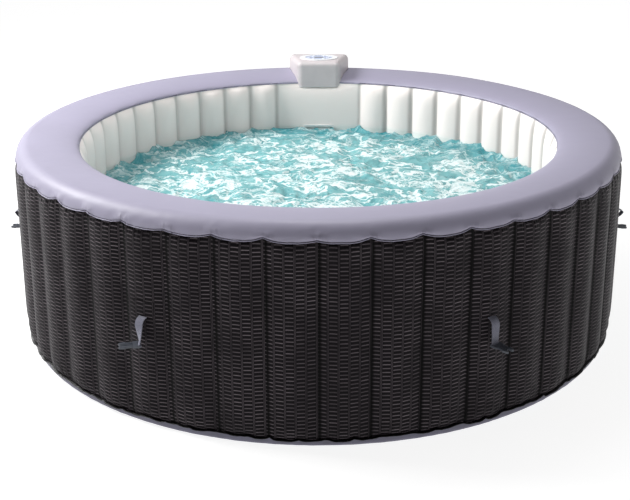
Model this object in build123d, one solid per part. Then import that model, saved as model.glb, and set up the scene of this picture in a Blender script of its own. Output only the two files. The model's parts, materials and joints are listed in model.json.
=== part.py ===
from build123d import *
import os
from math import cos, pi, radians, sin

# Inflatable hot tub for about six bathers, 2.04 m across and 0.65 m high at the ring.
# Frame: millimetres, +Z up, origin on the ground at the middle of the tub. The bathers'
# front is -Y and the control head and pump pack are at the rear, +Y. Angles round the
# tub are measured from the front towards +X.
# The tub is one air chamber: a fluted outer wall, a fluted inner wall, a crowned top
# ring and a flat bottom, tied together by an upright rib at every flute weld. One wide
# flat panel at the rear has no ribs behind it and holds the pump pack.

# ---------------------------------------------------------------- air chamber
OUTER_RADIUS = 1020.0  # over the crests of the outer flutes
OUTER_FLUTE_DEPTH = 14.0  # crest to weld line, outer wall
CHAMBER_WIDTH = 209.0  # outer crests to the weld lines of the inner wall
INNER_FLUTE_DEPTH = 14.0  # weld line to crest, inner wall
FLUTES = 42  # flutes round the tub, without the wide panel
PANEL_ANGLE = 24.4  # degrees taken by the wide rear panel
PANEL_SEAM = 6.0  # edges of the well's flat panel, in from the nearest flutes
SKIN = 3.0  # drawn thickness of one PVC sheet
SEAT = 0.3  # gap between soft pieces that lie on each other
WELD = 4.0  # thickness of a welded seam

RING_HEIGHT = 650.0  # crown of the top ring
OUTER_SEAM_DROP = 50.0  # crown to outer seam
INNER_SEAM_DROP = 33.0  # crown to inner seam
CROWN_INSET = 50.0  # crown, in from the outer crests
RING_SEAM_INSET = 5.0  # outer seam, in from the outer crests
SEAM_LIP = 2.0  # how far a seam stands out of the skins it joins
SEAM_OVERLAP = 18.0  # width of the outer seam inside the wall

FOOT_HEIGHT = 22.0  # top of the grey bottom sheet's turned-up rim
FOOT_STEP = 5.0  # bottom sheet's rim, in from the wall's foot
FOOT_CURVE = 24.0  # radial width of the rim's curve
WALL_FOOT_INSET = 11.0  # wall's foot, in from the outer crests
FOOT_TUCK = 70.0  # height over which the wall tucks in to the bottom weld
SEAM_TUCK = 45.0  # height over which the wall tucks in to the top seam
FLANGE_WIDTH = 16.0  # bottom weld, from its edge inwards
FLANGE_LIP = 4.0  # how far the bottom weld stands out
INNER_TUCK = 55.0  # rounded tops of the inner flutes
RIB_THICKNESS = 2.0
RIB_END_GAP = 8.0  # between a rib's top and the outer seam

# ---------------------------------------------------------------- bubble ring
BUBBLE_INSET = 39.0  # middle of the air channel, in from the inner wall
BUBBLE_WIDTH = 36.0
BUBBLE_HEIGHT = 26.0
BUBBLE_HOLES = 36
BUBBLE_HOLE = 3.0

# ---------------------------------------------------------------- cover straps
STRAP_HEIGHT = 342.0  # where the webbing leaves the wall
STRAP_WIDTH = 25.0
STRAP_THICKNESS = 2.0
STRAP_BEND = 19.0  # radius of the bend where the webbing turns down
STRAP_DROP = 52.0  # straight webbing below the bend
STRAP_FLUTES = (3, 11, 19)  # flutes, counted from the front, whose crests carry a strap
STRAP_TWISTS = (-50, 12, 0, -12, 0, 0)  # degrees each hanging strap is twisted
PATCH_WIDTH = 66.0
PATCH_HEIGHT = 44.0
PATCH_THICKNESS = 1.0
STRAP_CLEARANCE = 0.6  # root of the webbing off the wall, so that it folds up over its patch

BUCKLE_BAR = 4.4  # diameter of the bar in the webbing's loop
BUCKLE_PLAY = 0.3  # round the bar, in the loop
BUCKLE_WIDTH = 34.0
BUCKLE_RAIL = 4.0  # side rails of the buckle's frame
BUCKLE_THICKNESS = 6.0
BUCKLE_FRAME = 19.0  # length of the frame in front of the bar
BUCKLE_LENGTH = 58.0  # bar to prong tips
PRONG_WIDTH = 5.5
PRONG_BARB = 3.0
PRONG_SHOULDER = 38.5  # bar to the back of the barbs
BARB_RAKE = 2.0  # barbs' backs lean towards the tips
PRONG_NOSE = 3.5  # rounded end of a prong
TONGUE_WIDTH = 5.0
TONGUE_TIP = 3.4
TONGUE_LENGTH = 46.0  # bar to the guide's tip

# ---------------------------------------------------------------- control head
HEAD_RISE = 61.0  # top of the head above the ring's crown
HEAD_OVERHANG = 15.0  # inner face past the inner wall, over the well
HEAD_DEPTH = 178.0
HEAD_FRONT_WIDTH = 174.0
HEAD_REAR_WIDTH = 264.0
HEAD_CORNER = 26.0  # plan corners
HEAD_EDGE = 22.0  # rounding of the top edge
HEAD_WALL = 3.0
HEAD_SKIRT = 14.0  # front face hanging below the inner seam
HEAD_BASE = 4.0  # thickness of the saddle plate under the head
GASKET = 2.0

BEZEL_WIDTH = 158.0
BEZEL_DEPTH = 118.0
BEZEL_HEIGHT = 3.0
BEZEL_OVER_EDGE = 4.0  # bezel's front, over the rounded front edge of the head
PAD_WIDTH = 114.0
PAD_DEPTH = 84.0
PAD_THICKNESS = 3.0
PAD_RECESS = 1.0  # pad face below the bezel's rim
DISPLAY_WIDTH = 38.0
DISPLAY_DEPTH = 17.0
BUTTON_RADIUS = 7.2
BUTTON_GAP = 0.3
BUTTON_PROUD = 1.8
BUTTON_TRAVEL = 1.2
BUTTON_LENGTH = 6.0
BUTTON_SIDE = 40.0  # outer two buttons, from the middle of the pad
BUTTON_INSET = 21.0  # upper and lower pairs, sideways
BUTTON_ROW = 26.0  # upper and lower pairs, forwards and back
BOARD_THICKNESS = 1.6
BOARD_WIDTH = 104.0
BOARD_DEPTH = 74.0
BOARD_POST = 6.0

# ---------------------------------------------------------------- pump pack
PACK_WIDTH = 300.0
PACK_HEIGHT = 430.0
PACK_BOTTOM = 66.0
PACK_MARGIN = 27.7  # housing clear of the inner wall, for the fittings' nuts
PACK_WALL = 3.0
PACK_CORNER = 24.0
PACK_FLANGE = 18.0  # flange round the housing, on the outer wall
PACK_CLEARANCE = 1.0  # housing in the wall's opening
COVER_RISE = 30.0  # rear cover, out of the flange
COVER_TAPER = 18.0  # degrees
COVER_WALL = 3.0
LOUVRES = 9
LOUVRE_WIDTH = 170.0
LOUVRE_HEIGHT = 5.0
LOUVRE_PITCH = 14.0
LOUVRE_TOP = 90.0  # first louvre below the cover's top edge
SCREW_HEAD = 4.5  # radius
SCREW_SHANK = 2.0  # radius
GLAND_BORE = 4.2  # radius, for an 8 mm mains lead
GLAND_RADIUS = 9.0
GLAND_NUT = 12.0
GLAND_LENGTH = 24.0
GLAND_SIDE = 90.0
GLAND_STANDOFF = 16.0  # gland axis off the flange

PIPE_RADIUS = 16.0  # water spigots and hoses, outside
PIPE_WALL = 3.0
AIR_PIPE_RADIUS = 10.0
AIR_PIPE_WALL = 2.0
SHAFT_RADIUS = 4.0
SHAFT_REACH = 20.0  # shaft inside its motor
STANDOFF = 6.0  # heater clear of the housing's wet wall
SPIGOT = 12.0  # length of a pipe spigot
CRADLE = 22.0  # half width of the pump motor's cradle
RUNNING = 0.3  # gap round what turns
TIP_GAP = 1.2  # round an impeller's blades
HUB_RADIUS = 12.0
BLADE_THICKNESS = 2.0
BLADE_LEAN = 28.0  # degrees the blades lean back from radial

PUMP_SIDE = 45.0
PUMP_HEIGHT = 160.0
PUMP_RADIUS = 46.0
PUMP_WIDTH = 38.0
PUMP_WALL = 4.0
PUMP_MOTOR_RADIUS = 36.0
PUMP_MOTOR_LENGTH = 84.0
PUMP_BLADES = 7
HEATER_HEIGHT = 285.0
HEATER_RADIUS = 28.0
HEATER_LENGTH = 210.0
HEATER_WALL = 1.5
HEATER_ROD = 4.0
HEATER_SADDLE = 50.0
RETURN_SIDE = -80.0
BLOWER_SIDE = 30.0
BLOWER_HEIGHT = 415.0
BLOWER_RADIUS = 62.0
BLOWER_WIDTH = 46.0
BLOWER_WALL = 3.0
BLOWER_BLADES = 16
BLOWER_MOTOR_RADIUS = 32.0
BLOWER_MOTOR_LENGTH = 58.0
BLOWER_STANDOFF = 18.0
AIR_HEIGHT = 26.0  # air pipe into the bubble ring
AIR_BEND = 34.0

# ---------------------------------------------------------------- wall fittings
FITTING_FLANGE = 7.0  # width of a fitting's flange round its hole
FITTING_THICKNESS = 4.0
SLOT_WIDTH = 112.0  # skimmer slot at the water line
SLOT_HEIGHT = 8.0
SLOT_LEVEL = 431.0
SLOT_RIM = 8.0
FILTER_RADIUS = 50.0
FILTER_LENGTH = 78.0
FILTER_PLEATS = 30
FILTER_PLEAT_DEPTH = 12.0
FILTER_END = 6.0  # thickness of the cartridge's end discs
FILTER_END_LIP = 1.0  # end discs past the pleats
FILTER_BORE = 18.0
CAP_WALL = 3.0
CAP_GAP = 1.0
CAP_SLOTS = 16
NECK_GAP = 0.4  # radial, between a cap's skirt and its neck
SEAL_THICKNESS = 2.0
FILTER_NECK_HEIGHT = 10.0

VALVE_FLUTE = 0.5  # air valve, in flutes past the wide panel's edge
VALVE_HEIGHT = 430.0
VALVE_NECK = 16.0  # outside radius
VALVE_NECK_HEIGHT = 12.0
VALVE_DEPTH = 30.0
DRAIN_HEIGHT = 70.0
DRAIN_NECK = 13.2  # outside radius, 3/4 inch hose thread
DRAIN_NECK_HEIGHT = 14.0
NECK_WALL = 3.0
KNURLS = 12
KNURL_DEPTH = 1.0

# ---------------------------------------------------------------- derived places
WELL_RADIUS = OUTER_RADIUS - CHAMBER_WIDTH
CROWN_RADIUS = OUTER_RADIUS - CROWN_INSET
RING_SEAM_RADIUS = OUTER_RADIUS - RING_SEAM_INSET
WALL_FOOT_RADIUS = OUTER_RADIUS - WALL_FOOT_INSET
FOOT_RADIUS = WALL_FOOT_RADIUS - FOOT_STEP
BUBBLE_RADIUS = WELL_RADIUS - BUBBLE_INSET
OUTER_SEAM_HEIGHT = RING_HEIGHT - OUTER_SEAM_DROP
INNER_SEAM_HEIGHT = RING_HEIGHT - INNER_SEAM_DROP
HEAD_TOP = RING_HEIGHT + HEAD_RISE
HEAD_FRONT = WELL_RADIUS - HEAD_OVERHANG
PITCH = (360.0 - PANEL_ANGLE) / FLUTES
PANEL_EDGE = 180.0 + PANEL_ANGLE / 2
PANEL_COSINE = cos(radians(PANEL_ANGLE / 2))
OUTER_WELD_RADIUS = OUTER_RADIUS - OUTER_FLUTE_DEPTH
PANEL_OUTSIDE = OUTER_WELD_RADIUS * PANEL_COSINE  # y of the flat rear panel
PANEL_WET = WELL_RADIUS * PANEL_COSINE  # y of the flat panel in the well
PANEL_DRY = (WELL_RADIUS + SKIN) * PANEL_COSINE
FLOOR_TOP = 2 * SKIN
WALL_BOTTOM = FOOT_HEIGHT + SKIN
PACK_MIDDLE = PACK_BOTTOM + PACK_HEIGHT / 2
PACK_FRONT = PANEL_DRY + PACK_MARGIN
HEAD_MIDDLE = HEAD_FRONT + HEAD_DEPTH / 2
PAD_MIDDLE = HEAD_FRONT + HEAD_EDGE - BEZEL_OVER_EDGE + BEZEL_DEPTH / 2
PAD_FACE = HEAD_TOP + BEZEL_HEIGHT - PAD_RECESS
FLANGE_FACE = PANEL_OUTSIDE + SEAT + PACK_WALL  # outer face of the housing's flange
TRAY_FLOOR = PACK_FRONT + PACK_WALL
WATER_PLANE = TRAY_FLOOR + STANDOFF + HEATER_RADIUS  # y of the pump outlet and the heater
PUMP_FRONT = WATER_PLANE - PUMP_WIDTH / 2
MOTOR_START = PUMP_FRONT + PUMP_WIDTH
OUTLET_SIDE = PUMP_SIDE + PUMP_RADIUS - PIPE_RADIUS
PUMP_OUTLET = PUMP_HEIGHT + PUMP_RADIUS + PIPE_RADIUS
HEATER_INLET = HEATER_HEIGHT - HEATER_RADIUS - SPIGOT
RETURN_END = WATER_PLANE - HEATER_RADIUS - SPIGOT / 3
BLOWER_MOTOR_START = TRAY_FLOOR + BLOWER_STANDOFF
BLOWER_NEAR = BLOWER_MOTOR_START + BLOWER_MOTOR_LENGTH
BLOWER_PLANE = BLOWER_NEAR + BLOWER_WIDTH / 2
AIR_SIDE = BLOWER_SIDE - BLOWER_RADIUS + AIR_PIPE_RADIUS
BLOWER_OUTLET = BLOWER_HEIGHT - BLOWER_RADIUS - AIR_PIPE_RADIUS
SLOT_PLANE = (PANEL_DRY + PACK_FRONT) / 2  # y of the skimmer's hose
SLOT_BACK = PACK_FRONT - SEAT
GLAND_PLACE = (GLAND_SIDE, FLANGE_FACE + GLAND_STANDOFF, PACK_BOTTOM)
FILTER_NECK = FILTER_RADIUS + CAP_GAP + NECK_WALL  # outside radius
STRAP_ANGLES = [side * (index + 0.5) * PITCH for index in STRAP_FLUTES for side in (-1, 1)]


# ---------------------------------------------------------------- helpers
def polar(radius, angle, z=0.0):
    """A point at a radius and an angle from the front."""
    return Vector(radius * sin(radians(angle)), -radius * cos(radians(angle)), z)


def lathe(*edges):
    """A solid turned about Z from edges in the XZ plane."""
    return revolve(Face(Wire(edges)), Axis.Z)


def disc(radius, low, high):
    """An upright cylinder between two heights."""
    return Pos(0, 0, low) * Cylinder(radius, high - low, align=(Align.CENTER, Align.CENTER, Align.MIN))


def rod(radius, start, end):
    """A round bar between two points."""
    start, end = Vector(*start), Vector(*end)
    plane = Plane(origin=start, z_dir=end - start)
    return extrude(plane * Circle(radius), amount=(end - start).length)


def tube(radius, wall, start, end):
    """A round tube between two points."""
    return rod(radius, start, end) - rod(radius - wall, start, end)


def block(x_range, y_range, z_range):
    """A box between three pairs of limits."""
    ranges = (x_range, y_range, z_range)
    middle = [(low + high) / 2 for low, high in ranges]
    return Pos(*middle) * Box(*[high - low for low, high in ranges])


def upright(outline, low, high):
    """A flat outline raised from one height to another."""
    return extrude(Pos(0, 0, low) * outline, amount=high - low)


def outward(outline, near, far, x=0.0, z=0.0, taper=0.0):
    """A flat outline, drawn with its own y up, raised along +Y between two depths."""
    plane = Plane(origin=(x, near, z), x_dir=(-1, 0, 0), z_dir=(0, 1, 0))
    return extrude(plane * outline, amount=far - near, taper=taper)


def fluted(weld_radius, crest_radius):
    """The tub's outline: one arc from weld to weld for each flute, and the flat rear panel."""
    edges = []
    for index in range(FLUTES):
        start = PANEL_EDGE + index * PITCH
        edges.append(
            ThreePointArc(
                polar(weld_radius, start),
                polar(crest_radius, start + PITCH / 2),
                polar(weld_radius, start + PITCH),
            )
        )
    edges.append(Line(polar(weld_radius, -PANEL_EDGE), polar(weld_radius, PANEL_EDGE)))
    return Face(Wire(edges))


# ---------------------------------------------------------------- chamber skins
def barrel(inset):
    """Envelope of the outer wall: upright, tucked in at its foot and at the top seam."""
    low, high = WALL_BOTTOM, OUTER_SEAM_HEIGHT - WELD / 2
    free = OUTER_RADIUS + SEAM_LIP - inset
    foot = (WALL_FOOT_RADIUS - inset, 0, low)
    tuck_low = (free, 0, low + FOOT_TUCK)
    tuck_high = (free, 0, high - SEAM_TUCK)
    seam = (RING_SEAM_RADIUS - inset, 0, high)
    return lathe(
        Line((0, 0, low), foot),
        TangentArc(tuck_low, foot, tangent=(0, 0, -1)),
        Line(tuck_low, tuck_high),
        TangentArc(tuck_high, seam, tangent=(0, 0, 1)),
        Line(seam, (0, 0, high)),
        Line((0, 0, high), (0, 0, low)),
    )


def outer_wall():
    low, high = WALL_BOTTOM, OUTER_SEAM_HEIGHT - WELD / 2
    outside = upright(fluted(OUTER_WELD_RADIUS, OUTER_RADIUS), low, high) & barrel(0)
    inside = upright(fluted(OUTER_WELD_RADIUS - SKIN, OUTER_RADIUS - SKIN), low, high) & barrel(SKIN)
    wall = outside - inside
    opening = RectangleRounded(
        PACK_WIDTH + 2 * PACK_CLEARANCE, PACK_HEIGHT + 2 * PACK_CLEARANCE, PACK_CORNER + PACK_CLEARANCE
    )
    wall -= outward(opening, PANEL_OUTSIDE - 4 * SKIN, PANEL_OUTSIDE + SKIN, z=PACK_MIDDLE)
    for place, neck in ((valve_place(), VALVE_NECK), (drain_place(), DRAIN_NECK)):
        wall -= place * rod(neck, (0, -VALVE_DEPTH, 0), (0, VALVE_DEPTH, 0))
    return wall


def inner_flare(inset):
    """What rounds the tops of the inner flutes out to the inner seam."""
    high = INNER_SEAM_HEIGHT - WELD / 2
    crest = WELL_RADIUS - INNER_FLUTE_DEPTH - SEAM_LIP + inset
    start = (crest, 0, high - INNER_TUCK)
    seam = (WELL_RADIUS + inset, 0, high)
    return lathe(
        Line((0, 0, high - INNER_TUCK), start),
        TangentArc(start, seam, tangent=(0, 0, 1)),
        Line(seam, (0, 0, high)),
        Line((0, 0, high), (0, 0, high - INNER_TUCK)),
    )


def inner_wall():
    """The fluted liner, and the flat panel welded into it at the rear."""
    high = INNER_SEAM_HEIGHT - WELD / 2
    crest = WELL_RADIUS - INNER_FLUTE_DEPTH
    dry = upright(fluted(WELL_RADIUS + SKIN, crest + SKIN), FLOOR_TOP, high) + inner_flare(SKIN)
    wet = upright(fluted(WELL_RADIUS, crest), FLOOR_TOP, high) + inner_flare(0)
    wall = dry - wet
    holes = [
        (PUMP_SIDE, PUMP_HEIGHT, PIPE_RADIUS),
        (RETURN_SIDE, HEATER_HEIGHT, PIPE_RADIUS),
        (AIR_SIDE, AIR_HEIGHT, AIR_PIPE_RADIUS),
    ]
    for x, z, radius in holes:
        wall -= rod(radius + SEAT, (x, PANEL_WET - SKIN, z), (x, PANEL_DRY + SKIN, z))
    slot = RectangleRounded(SLOT_WIDTH + 2 * PIPE_WALL, SLOT_HEIGHT + 2 * PIPE_WALL, PIPE_WALL)
    wall -= outward(slot, PANEL_WET - SKIN, PANEL_DRY + SKIN, z=SLOT_LEVEL)
    wall -= drain_place() * rod(DRAIN_NECK, (0, 0, 0), (0, 2 * CHAMBER_WIDTH, 0))
    half_panel = WELL_RADIUS * sin(radians(PANEL_ANGLE / 2)) - PANEL_SEAM
    panel = block((-half_panel, half_panel), (0, 2 * WELL_RADIUS), (0, RING_HEIGHT))
    return [wall - panel, wall & panel]


def ring_curve(offset):
    """Upper line of the top ring, seam to crown to seam, moved out by an offset."""
    crown = (CROWN_RADIUS, 0, RING_HEIGHT + offset)
    outer = (RING_SEAM_RADIUS + offset, 0, OUTER_SEAM_HEIGHT + WELD / 2)
    inner = (WELL_RADIUS - offset, 0, INNER_SEAM_HEIGHT + WELD / 2)
    rise = TangentArc(crown, outer, tangent=(1, 0, 0))
    fall = TangentArc(crown, inner, tangent=(-1, 0, 0))
    return rise, fall, outer, inner


def ring_block(offset, depth):
    """The space under the ring's upper line, down by a depth below the outer seam."""
    rise, fall, outer, inner = ring_curve(offset)
    low = OUTER_SEAM_HEIGHT - depth
    return lathe(
        rise,
        fall,
        Line(inner, (inner[0], 0, low)),
        Line((inner[0], 0, low), (outer[0], 0, low)),
        Line((outer[0], 0, low), outer),
    )


def top_ring():
    rise, fall, outer, inner = ring_curve(0)
    under_rise, under_fall, under_outer, under_inner = ring_curve(-SKIN)
    skin = lathe(rise, fall, Line(inner, under_inner), under_fall, under_rise, Line(under_outer, outer))
    return skin - duct_hole(SKIN)


def outer_seam():
    low, high = OUTER_SEAM_HEIGHT - WELD / 2, OUTER_SEAM_HEIGHT + WELD / 2
    strip = upright(fluted(OUTER_WELD_RADIUS + SEAM_LIP, RING_SEAM_RADIUS + SEAM_LIP), low, high)
    return strip - disc(PANEL_OUTSIDE - SEAM_OVERLAP, low, high)


def inner_seam():
    low, high = INNER_SEAM_HEIGHT - WELD / 2, INNER_SEAM_HEIGHT + WELD / 2
    return disc(WELL_RADIUS + SKIN + SEAM_LIP, low, high) - disc(WELL_RADIUS - SEAM_LIP, low, high)


def foot_form(inset):
    """Space inside the bottom sheet: flat below, rounded up at its edge, flat at the rear panel."""
    start = (FOOT_RADIUS - FOOT_CURVE, 0, inset)
    end = (FOOT_RADIUS - inset, 0, FOOT_HEIGHT)
    form = lathe(
        Line((0, 0, inset), start),
        TangentArc(start, end, tangent=(1, 0, 0)),
        Line(end, (0, 0, FOOT_HEIGHT)),
        Line((0, 0, FOOT_HEIGHT), (0, 0, inset)),
    )
    flat = FOOT_RADIUS * PANEL_COSINE - inset
    return form & block((-FOOT_RADIUS, FOOT_RADIUS), (-FOOT_RADIUS, flat), (0, FOOT_HEIGHT))


def bottom_pan():
    """The grey sheet the tub stands on, and the strip round it that turns up to the wall's foot."""
    pan = foot_form(0) - foot_form(SKIN)
    sheet = disc(FOOT_RADIUS * PANEL_COSINE - 2 * SKIN, 0, SKIN)
    return [sheet, pan - sheet]


def bottom_weld():
    edge = fluted(WALL_FOOT_RADIUS - FLANGE_LIP, WALL_FOOT_RADIUS + FLANGE_LIP)
    flange = upright(edge, FOOT_HEIGHT, WALL_BOTTOM)
    return flange - disc(PANEL_OUTSIDE - FLANGE_WIDTH, FOOT_HEIGHT, WALL_BOTTOM)


def wall_ribs():
    """One upright sheet at every weld line, from wall to wall."""
    near = WELL_RADIUS + SKIN + SEAT
    far = OUTER_WELD_RADIUS - SKIN - SEAT
    low, high = SKIN + SEAT + FOOT_HEIGHT, OUTER_SEAM_HEIGHT - WELD - RIB_END_GAP
    rib = block((-RIB_THICKNESS / 2, RIB_THICKNESS / 2), (-far, -near), (low, high))
    return [Rot(0, 0, PANEL_EDGE + index * PITCH) * rib for index in range(FLUTES + 1)]


def bubble_ring():
    """Half-round air channel welded to the floor, with a row of holes along its top."""
    half, top = BUBBLE_WIDTH / 2, FLOOR_TOP + BUBBLE_HEIGHT
    outer = ThreePointArc(
        (BUBBLE_RADIUS - half, 0, FLOOR_TOP), (BUBBLE_RADIUS, 0, top), (BUBBLE_RADIUS + half, 0, FLOOR_TOP)
    )
    inner = ThreePointArc(
        (BUBBLE_RADIUS - half + SKIN, 0, FLOOR_TOP),
        (BUBBLE_RADIUS, 0, top - SKIN),
        (BUBBLE_RADIUS + half - SKIN, 0, FLOOR_TOP),
    )
    ring = lathe(
        outer,
        Line((BUBBLE_RADIUS + half, 0, FLOOR_TOP), (BUBBLE_RADIUS + half - SKIN, 0, FLOOR_TOP)),
        inner,
        Line((BUBBLE_RADIUS - half + SKIN, 0, FLOOR_TOP), (BUBBLE_RADIUS - half, 0, FLOOR_TOP)),
    )
    end = PANEL_WET - BUBBLE_WIDTH
    cuts = [rod(AIR_PIPE_RADIUS + SEAT, (AIR_SIDE, end, AIR_HEIGHT), (AIR_SIDE, PANEL_WET, AIR_HEIGHT))]
    for index in range(BUBBLE_HOLES):
        place = polar(BUBBLE_RADIUS, (index + 0.5) * 360 / BUBBLE_HOLES, top)
        cuts.append(Pos(place) * Cylinder(BUBBLE_HOLE / 2, 4 * SKIN))
    return ring - cuts


# ---------------------------------------------------------------- straps and buckles
def crest_radius_of_flute():
    """Radius of curvature of one outer flute."""
    half = OUTER_WELD_RADIUS * sin(radians(PITCH / 2))
    rise = OUTER_RADIUS - OUTER_WELD_RADIUS * cos(radians(PITCH / 2))
    return (half * half + rise * rise) / (2 * rise)


def strap_patches():
    """PVC patches on the flute crests, one over the root of each strap."""
    curve = crest_radius_of_flute()
    axis = -(OUTER_RADIUS - curve)
    low = STRAP_HEIGHT + STRAP_THICKNESS + SEAT
    band = disc(curve + SEAT + PATCH_THICKNESS, low, low + PATCH_HEIGHT) - disc(
        curve + SEAT, low, low + PATCH_HEIGHT
    )
    front = block((-PATCH_WIDTH / 2, PATCH_WIDTH / 2), (-2 * curve, 0), (low, low + PATCH_HEIGHT))
    patch = Pos(0, axis, 0) * (band & front)
    return [Rot(0, 0, angle) * patch for angle in STRAP_ANGLES]


def strap_root_depth():
    """Distance of a strap's root bead from the tub's axis."""
    return OUTER_RADIUS + STRAP_CLEARANCE + STRAP_THICKNESS


def strap_end():
    """The buckle bar of a strap at the front, as (y, z)."""
    loop = BUCKLE_BAR / 2 + BUCKLE_PLAY + STRAP_THICKNESS / 2
    return -(strap_root_depth() + STRAP_BEND), STRAP_HEIGHT - STRAP_BEND - STRAP_DROP - loop


def strap(twist):
    """Webbing that leaves the wall, bends down and ends in a loop round the buckle's bar."""
    half = STRAP_THICKNESS / 2
    root = -strap_root_depth()
    bead = rod(STRAP_THICKNESS, (-STRAP_WIDTH / 2, root, STRAP_HEIGHT), (STRAP_WIDTH / 2, root, STRAP_HEIGHT))
    centre = (root, STRAP_HEIGHT - STRAP_BEND)
    quarter = block((-STRAP_WIDTH / 2, STRAP_WIDTH / 2), (centre[0] - 2 * STRAP_BEND, centre[0]),
                    (centre[1], centre[1] + 2 * STRAP_BEND))
    ends = (-STRAP_WIDTH / 2, *centre), (STRAP_WIDTH / 2, *centre)
    bend = (rod(STRAP_BEND + half, *ends) - rod(STRAP_BEND - half, *ends)) & quarter
    bar_y, bar_z = strap_end()
    section = Rectangle(STRAP_WIDTH, STRAP_THICKNESS)
    loop_radius = BUCKLE_BAR / 2 + BUCKLE_PLAY + STRAP_THICKNESS
    top = Pos(0, bar_y, centre[1]) * section
    foot = Pos(0, bar_y, bar_z + loop_radius - half) * Rot(0, 0, twist) * section
    hang = loft([top, foot])
    loop = rod(loop_radius, (-STRAP_WIDTH / 2, 0, 0), (STRAP_WIDTH / 2, 0, 0))
    bore = rod(BUCKLE_BAR / 2 + BUCKLE_PLAY, (-STRAP_WIDTH, 0, 0), (STRAP_WIDTH, 0, 0))
    turned = Pos(0, bar_y, bar_z) * Rot(0, 0, twist)
    return bead + bend + (hang + turned * loop - turned * bore)


def buckle(twist):
    """Tongue of a side-release buckle: a frame on its bar, two sprung prongs and a guide."""
    half = BUCKLE_WIDTH / 2
    window = half - BUCKLE_RAIL
    loop = BUCKLE_BAR / 2 + BUCKLE_PLAY + STRAP_THICKNESS + BUCKLE_PLAY
    tip = BUCKLE_LENGTH
    plate = Pos(0, -BUCKLE_FRAME / 2) * Rectangle(BUCKLE_WIDTH, BUCKLE_FRAME)
    plate -= Pos(0, -loop / 2) * Rectangle(2 * window, loop)
    prong = make_face(
        Polyline(
            (half - 2 * PRONG_WIDTH, -BUCKLE_FRAME),
            (half - PRONG_WIDTH, -BUCKLE_FRAME),
            (half - PRONG_BARB, -PRONG_SHOULDER),
            (half, -PRONG_SHOULDER - BARB_RAKE),
            (half - PRONG_BARB, PRONG_NOSE - tip),
            (half - PRONG_WIDTH - BARB_RAKE / 2, -tip),
            (half - 2 * PRONG_WIDTH, PRONG_NOSE - tip),
            (half - 2 * PRONG_WIDTH, -BUCKLE_FRAME),
        )
    )
    tongue = make_face(
        Polyline(
            (-TONGUE_WIDTH / 2, -BUCKLE_FRAME),
            (TONGUE_WIDTH / 2, -BUCKLE_FRAME),
            (TONGUE_TIP / 2, -TONGUE_LENGTH),
            (-TONGUE_TIP / 2, -TONGUE_LENGTH),
            (-TONGUE_WIDTH / 2, -BUCKLE_FRAME),
        )
    )
    flat = plate + prong + mirror(prong, Plane.YZ) + tongue
    body = extrude(Pos(0, 0, -BUCKLE_THICKNESS / 2) * flat, amount=BUCKLE_THICKNESS)
    body += rod(BUCKLE_BAR / 2, (-half, 0, 0), (half, 0, 0))
    bar_y, bar_z = strap_end()
    return Pos(0, bar_y, bar_z) * Rot(0, 0, twist) * body


# ---------------------------------------------------------------- control head
def head_block(inset, low):
    """The head's outer form, drawn in by an inset: wider behind than in front, rounded on top."""
    front, rear = HEAD_FRONT_WIDTH / 2 - inset, HEAD_REAR_WIDTH / 2 - inset
    near, far = HEAD_FRONT + inset, HEAD_FRONT + HEAD_DEPTH - inset
    plan = Polygon((-front, near), (front, near), (rear, far), (-rear, far), align=None)
    plan = fillet(plan.vertices(), HEAD_CORNER - inset)
    form = upright(plan, low, HEAD_TOP - inset)
    top = form.edges().group_by(Axis.Z)[-1]
    return fillet(top, HEAD_EDGE - inset)


def duct_hole(extra):
    """Bore for the wiring duct through ring and head base."""
    low, high = PACK_BOTTOM + PACK_HEIGHT, RING_HEIGHT + extra + HEAD_BASE
    return rod(AIR_PIPE_RADIUS + SEAT, (0, HEAD_MIDDLE, low), (0, HEAD_MIDDLE, high))


def head_cover():
    low = INNER_SEAM_HEIGHT - HEAD_SKIRT
    shell = head_block(0, low) - head_block(HEAD_WALL, low - HEAD_WALL)
    shell += block((-HEAD_FRONT_WIDTH / 2 + HEAD_CORNER, HEAD_FRONT_WIDTH / 2 - HEAD_CORNER),
                   (HEAD_FRONT, WELL_RADIUS), (low, low + HEAD_WALL))
    shell -= ring_block(SEAT + GASKET, HEAD_SKIRT + HEAD_EDGE)
    seam_low, seam_high = INNER_SEAM_HEIGHT - WELD / 2, INNER_SEAM_HEIGHT + WELD
    reach = HEAD_FRONT + HEAD_DEPTH
    shell -= disc(reach, low - HEAD_WALL, seam_low) - inner_flare(-SEAT)
    shell -= disc(reach, seam_low, seam_high) - disc(WELL_RADIUS - SEAM_LIP - SEAT, seam_low, seam_high)
    pad = Pos(0, PAD_MIDDLE) * Ellipse(PAD_WIDTH / 2, PAD_DEPTH / 2)
    shell -= upright(pad, HEAD_TOP - HEAD_WALL, HEAD_TOP)
    posts = [
        upright(Pos(x, PAD_MIDDLE + y) * Circle(BOARD_POST / 2), board_top(), HEAD_TOP - HEAD_WALL)
        for x, y in board_posts()
    ]
    return shell + posts


def board_top():
    return PAD_FACE + BUTTON_PROUD - BUTTON_LENGTH - BUTTON_TRAVEL - SEAT


def board_posts():
    x, y = BOARD_WIDTH / 2 - BOARD_POST / 2, BOARD_DEPTH / 2 - BOARD_POST / 2
    return [(-x, -y), (x, -y), (x, y), (-x, y)]


def head_base():
    """Saddle plate between the head and the ring, under a rubber gasket of the same plan."""
    inside = head_block(HEAD_WALL + SEAT, INNER_SEAM_HEIGHT - HEAD_SKIRT)
    plate = inside & ring_block(SEAT + GASKET + HEAD_BASE, 0)
    plate -= ring_block(SEAT + GASKET, HEAD_SKIRT)
    plate -= disc(WELL_RADIUS, 0, HEAD_TOP)
    return plate - duct_hole(HEAD_BASE + GASKET + SEAT)


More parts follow.
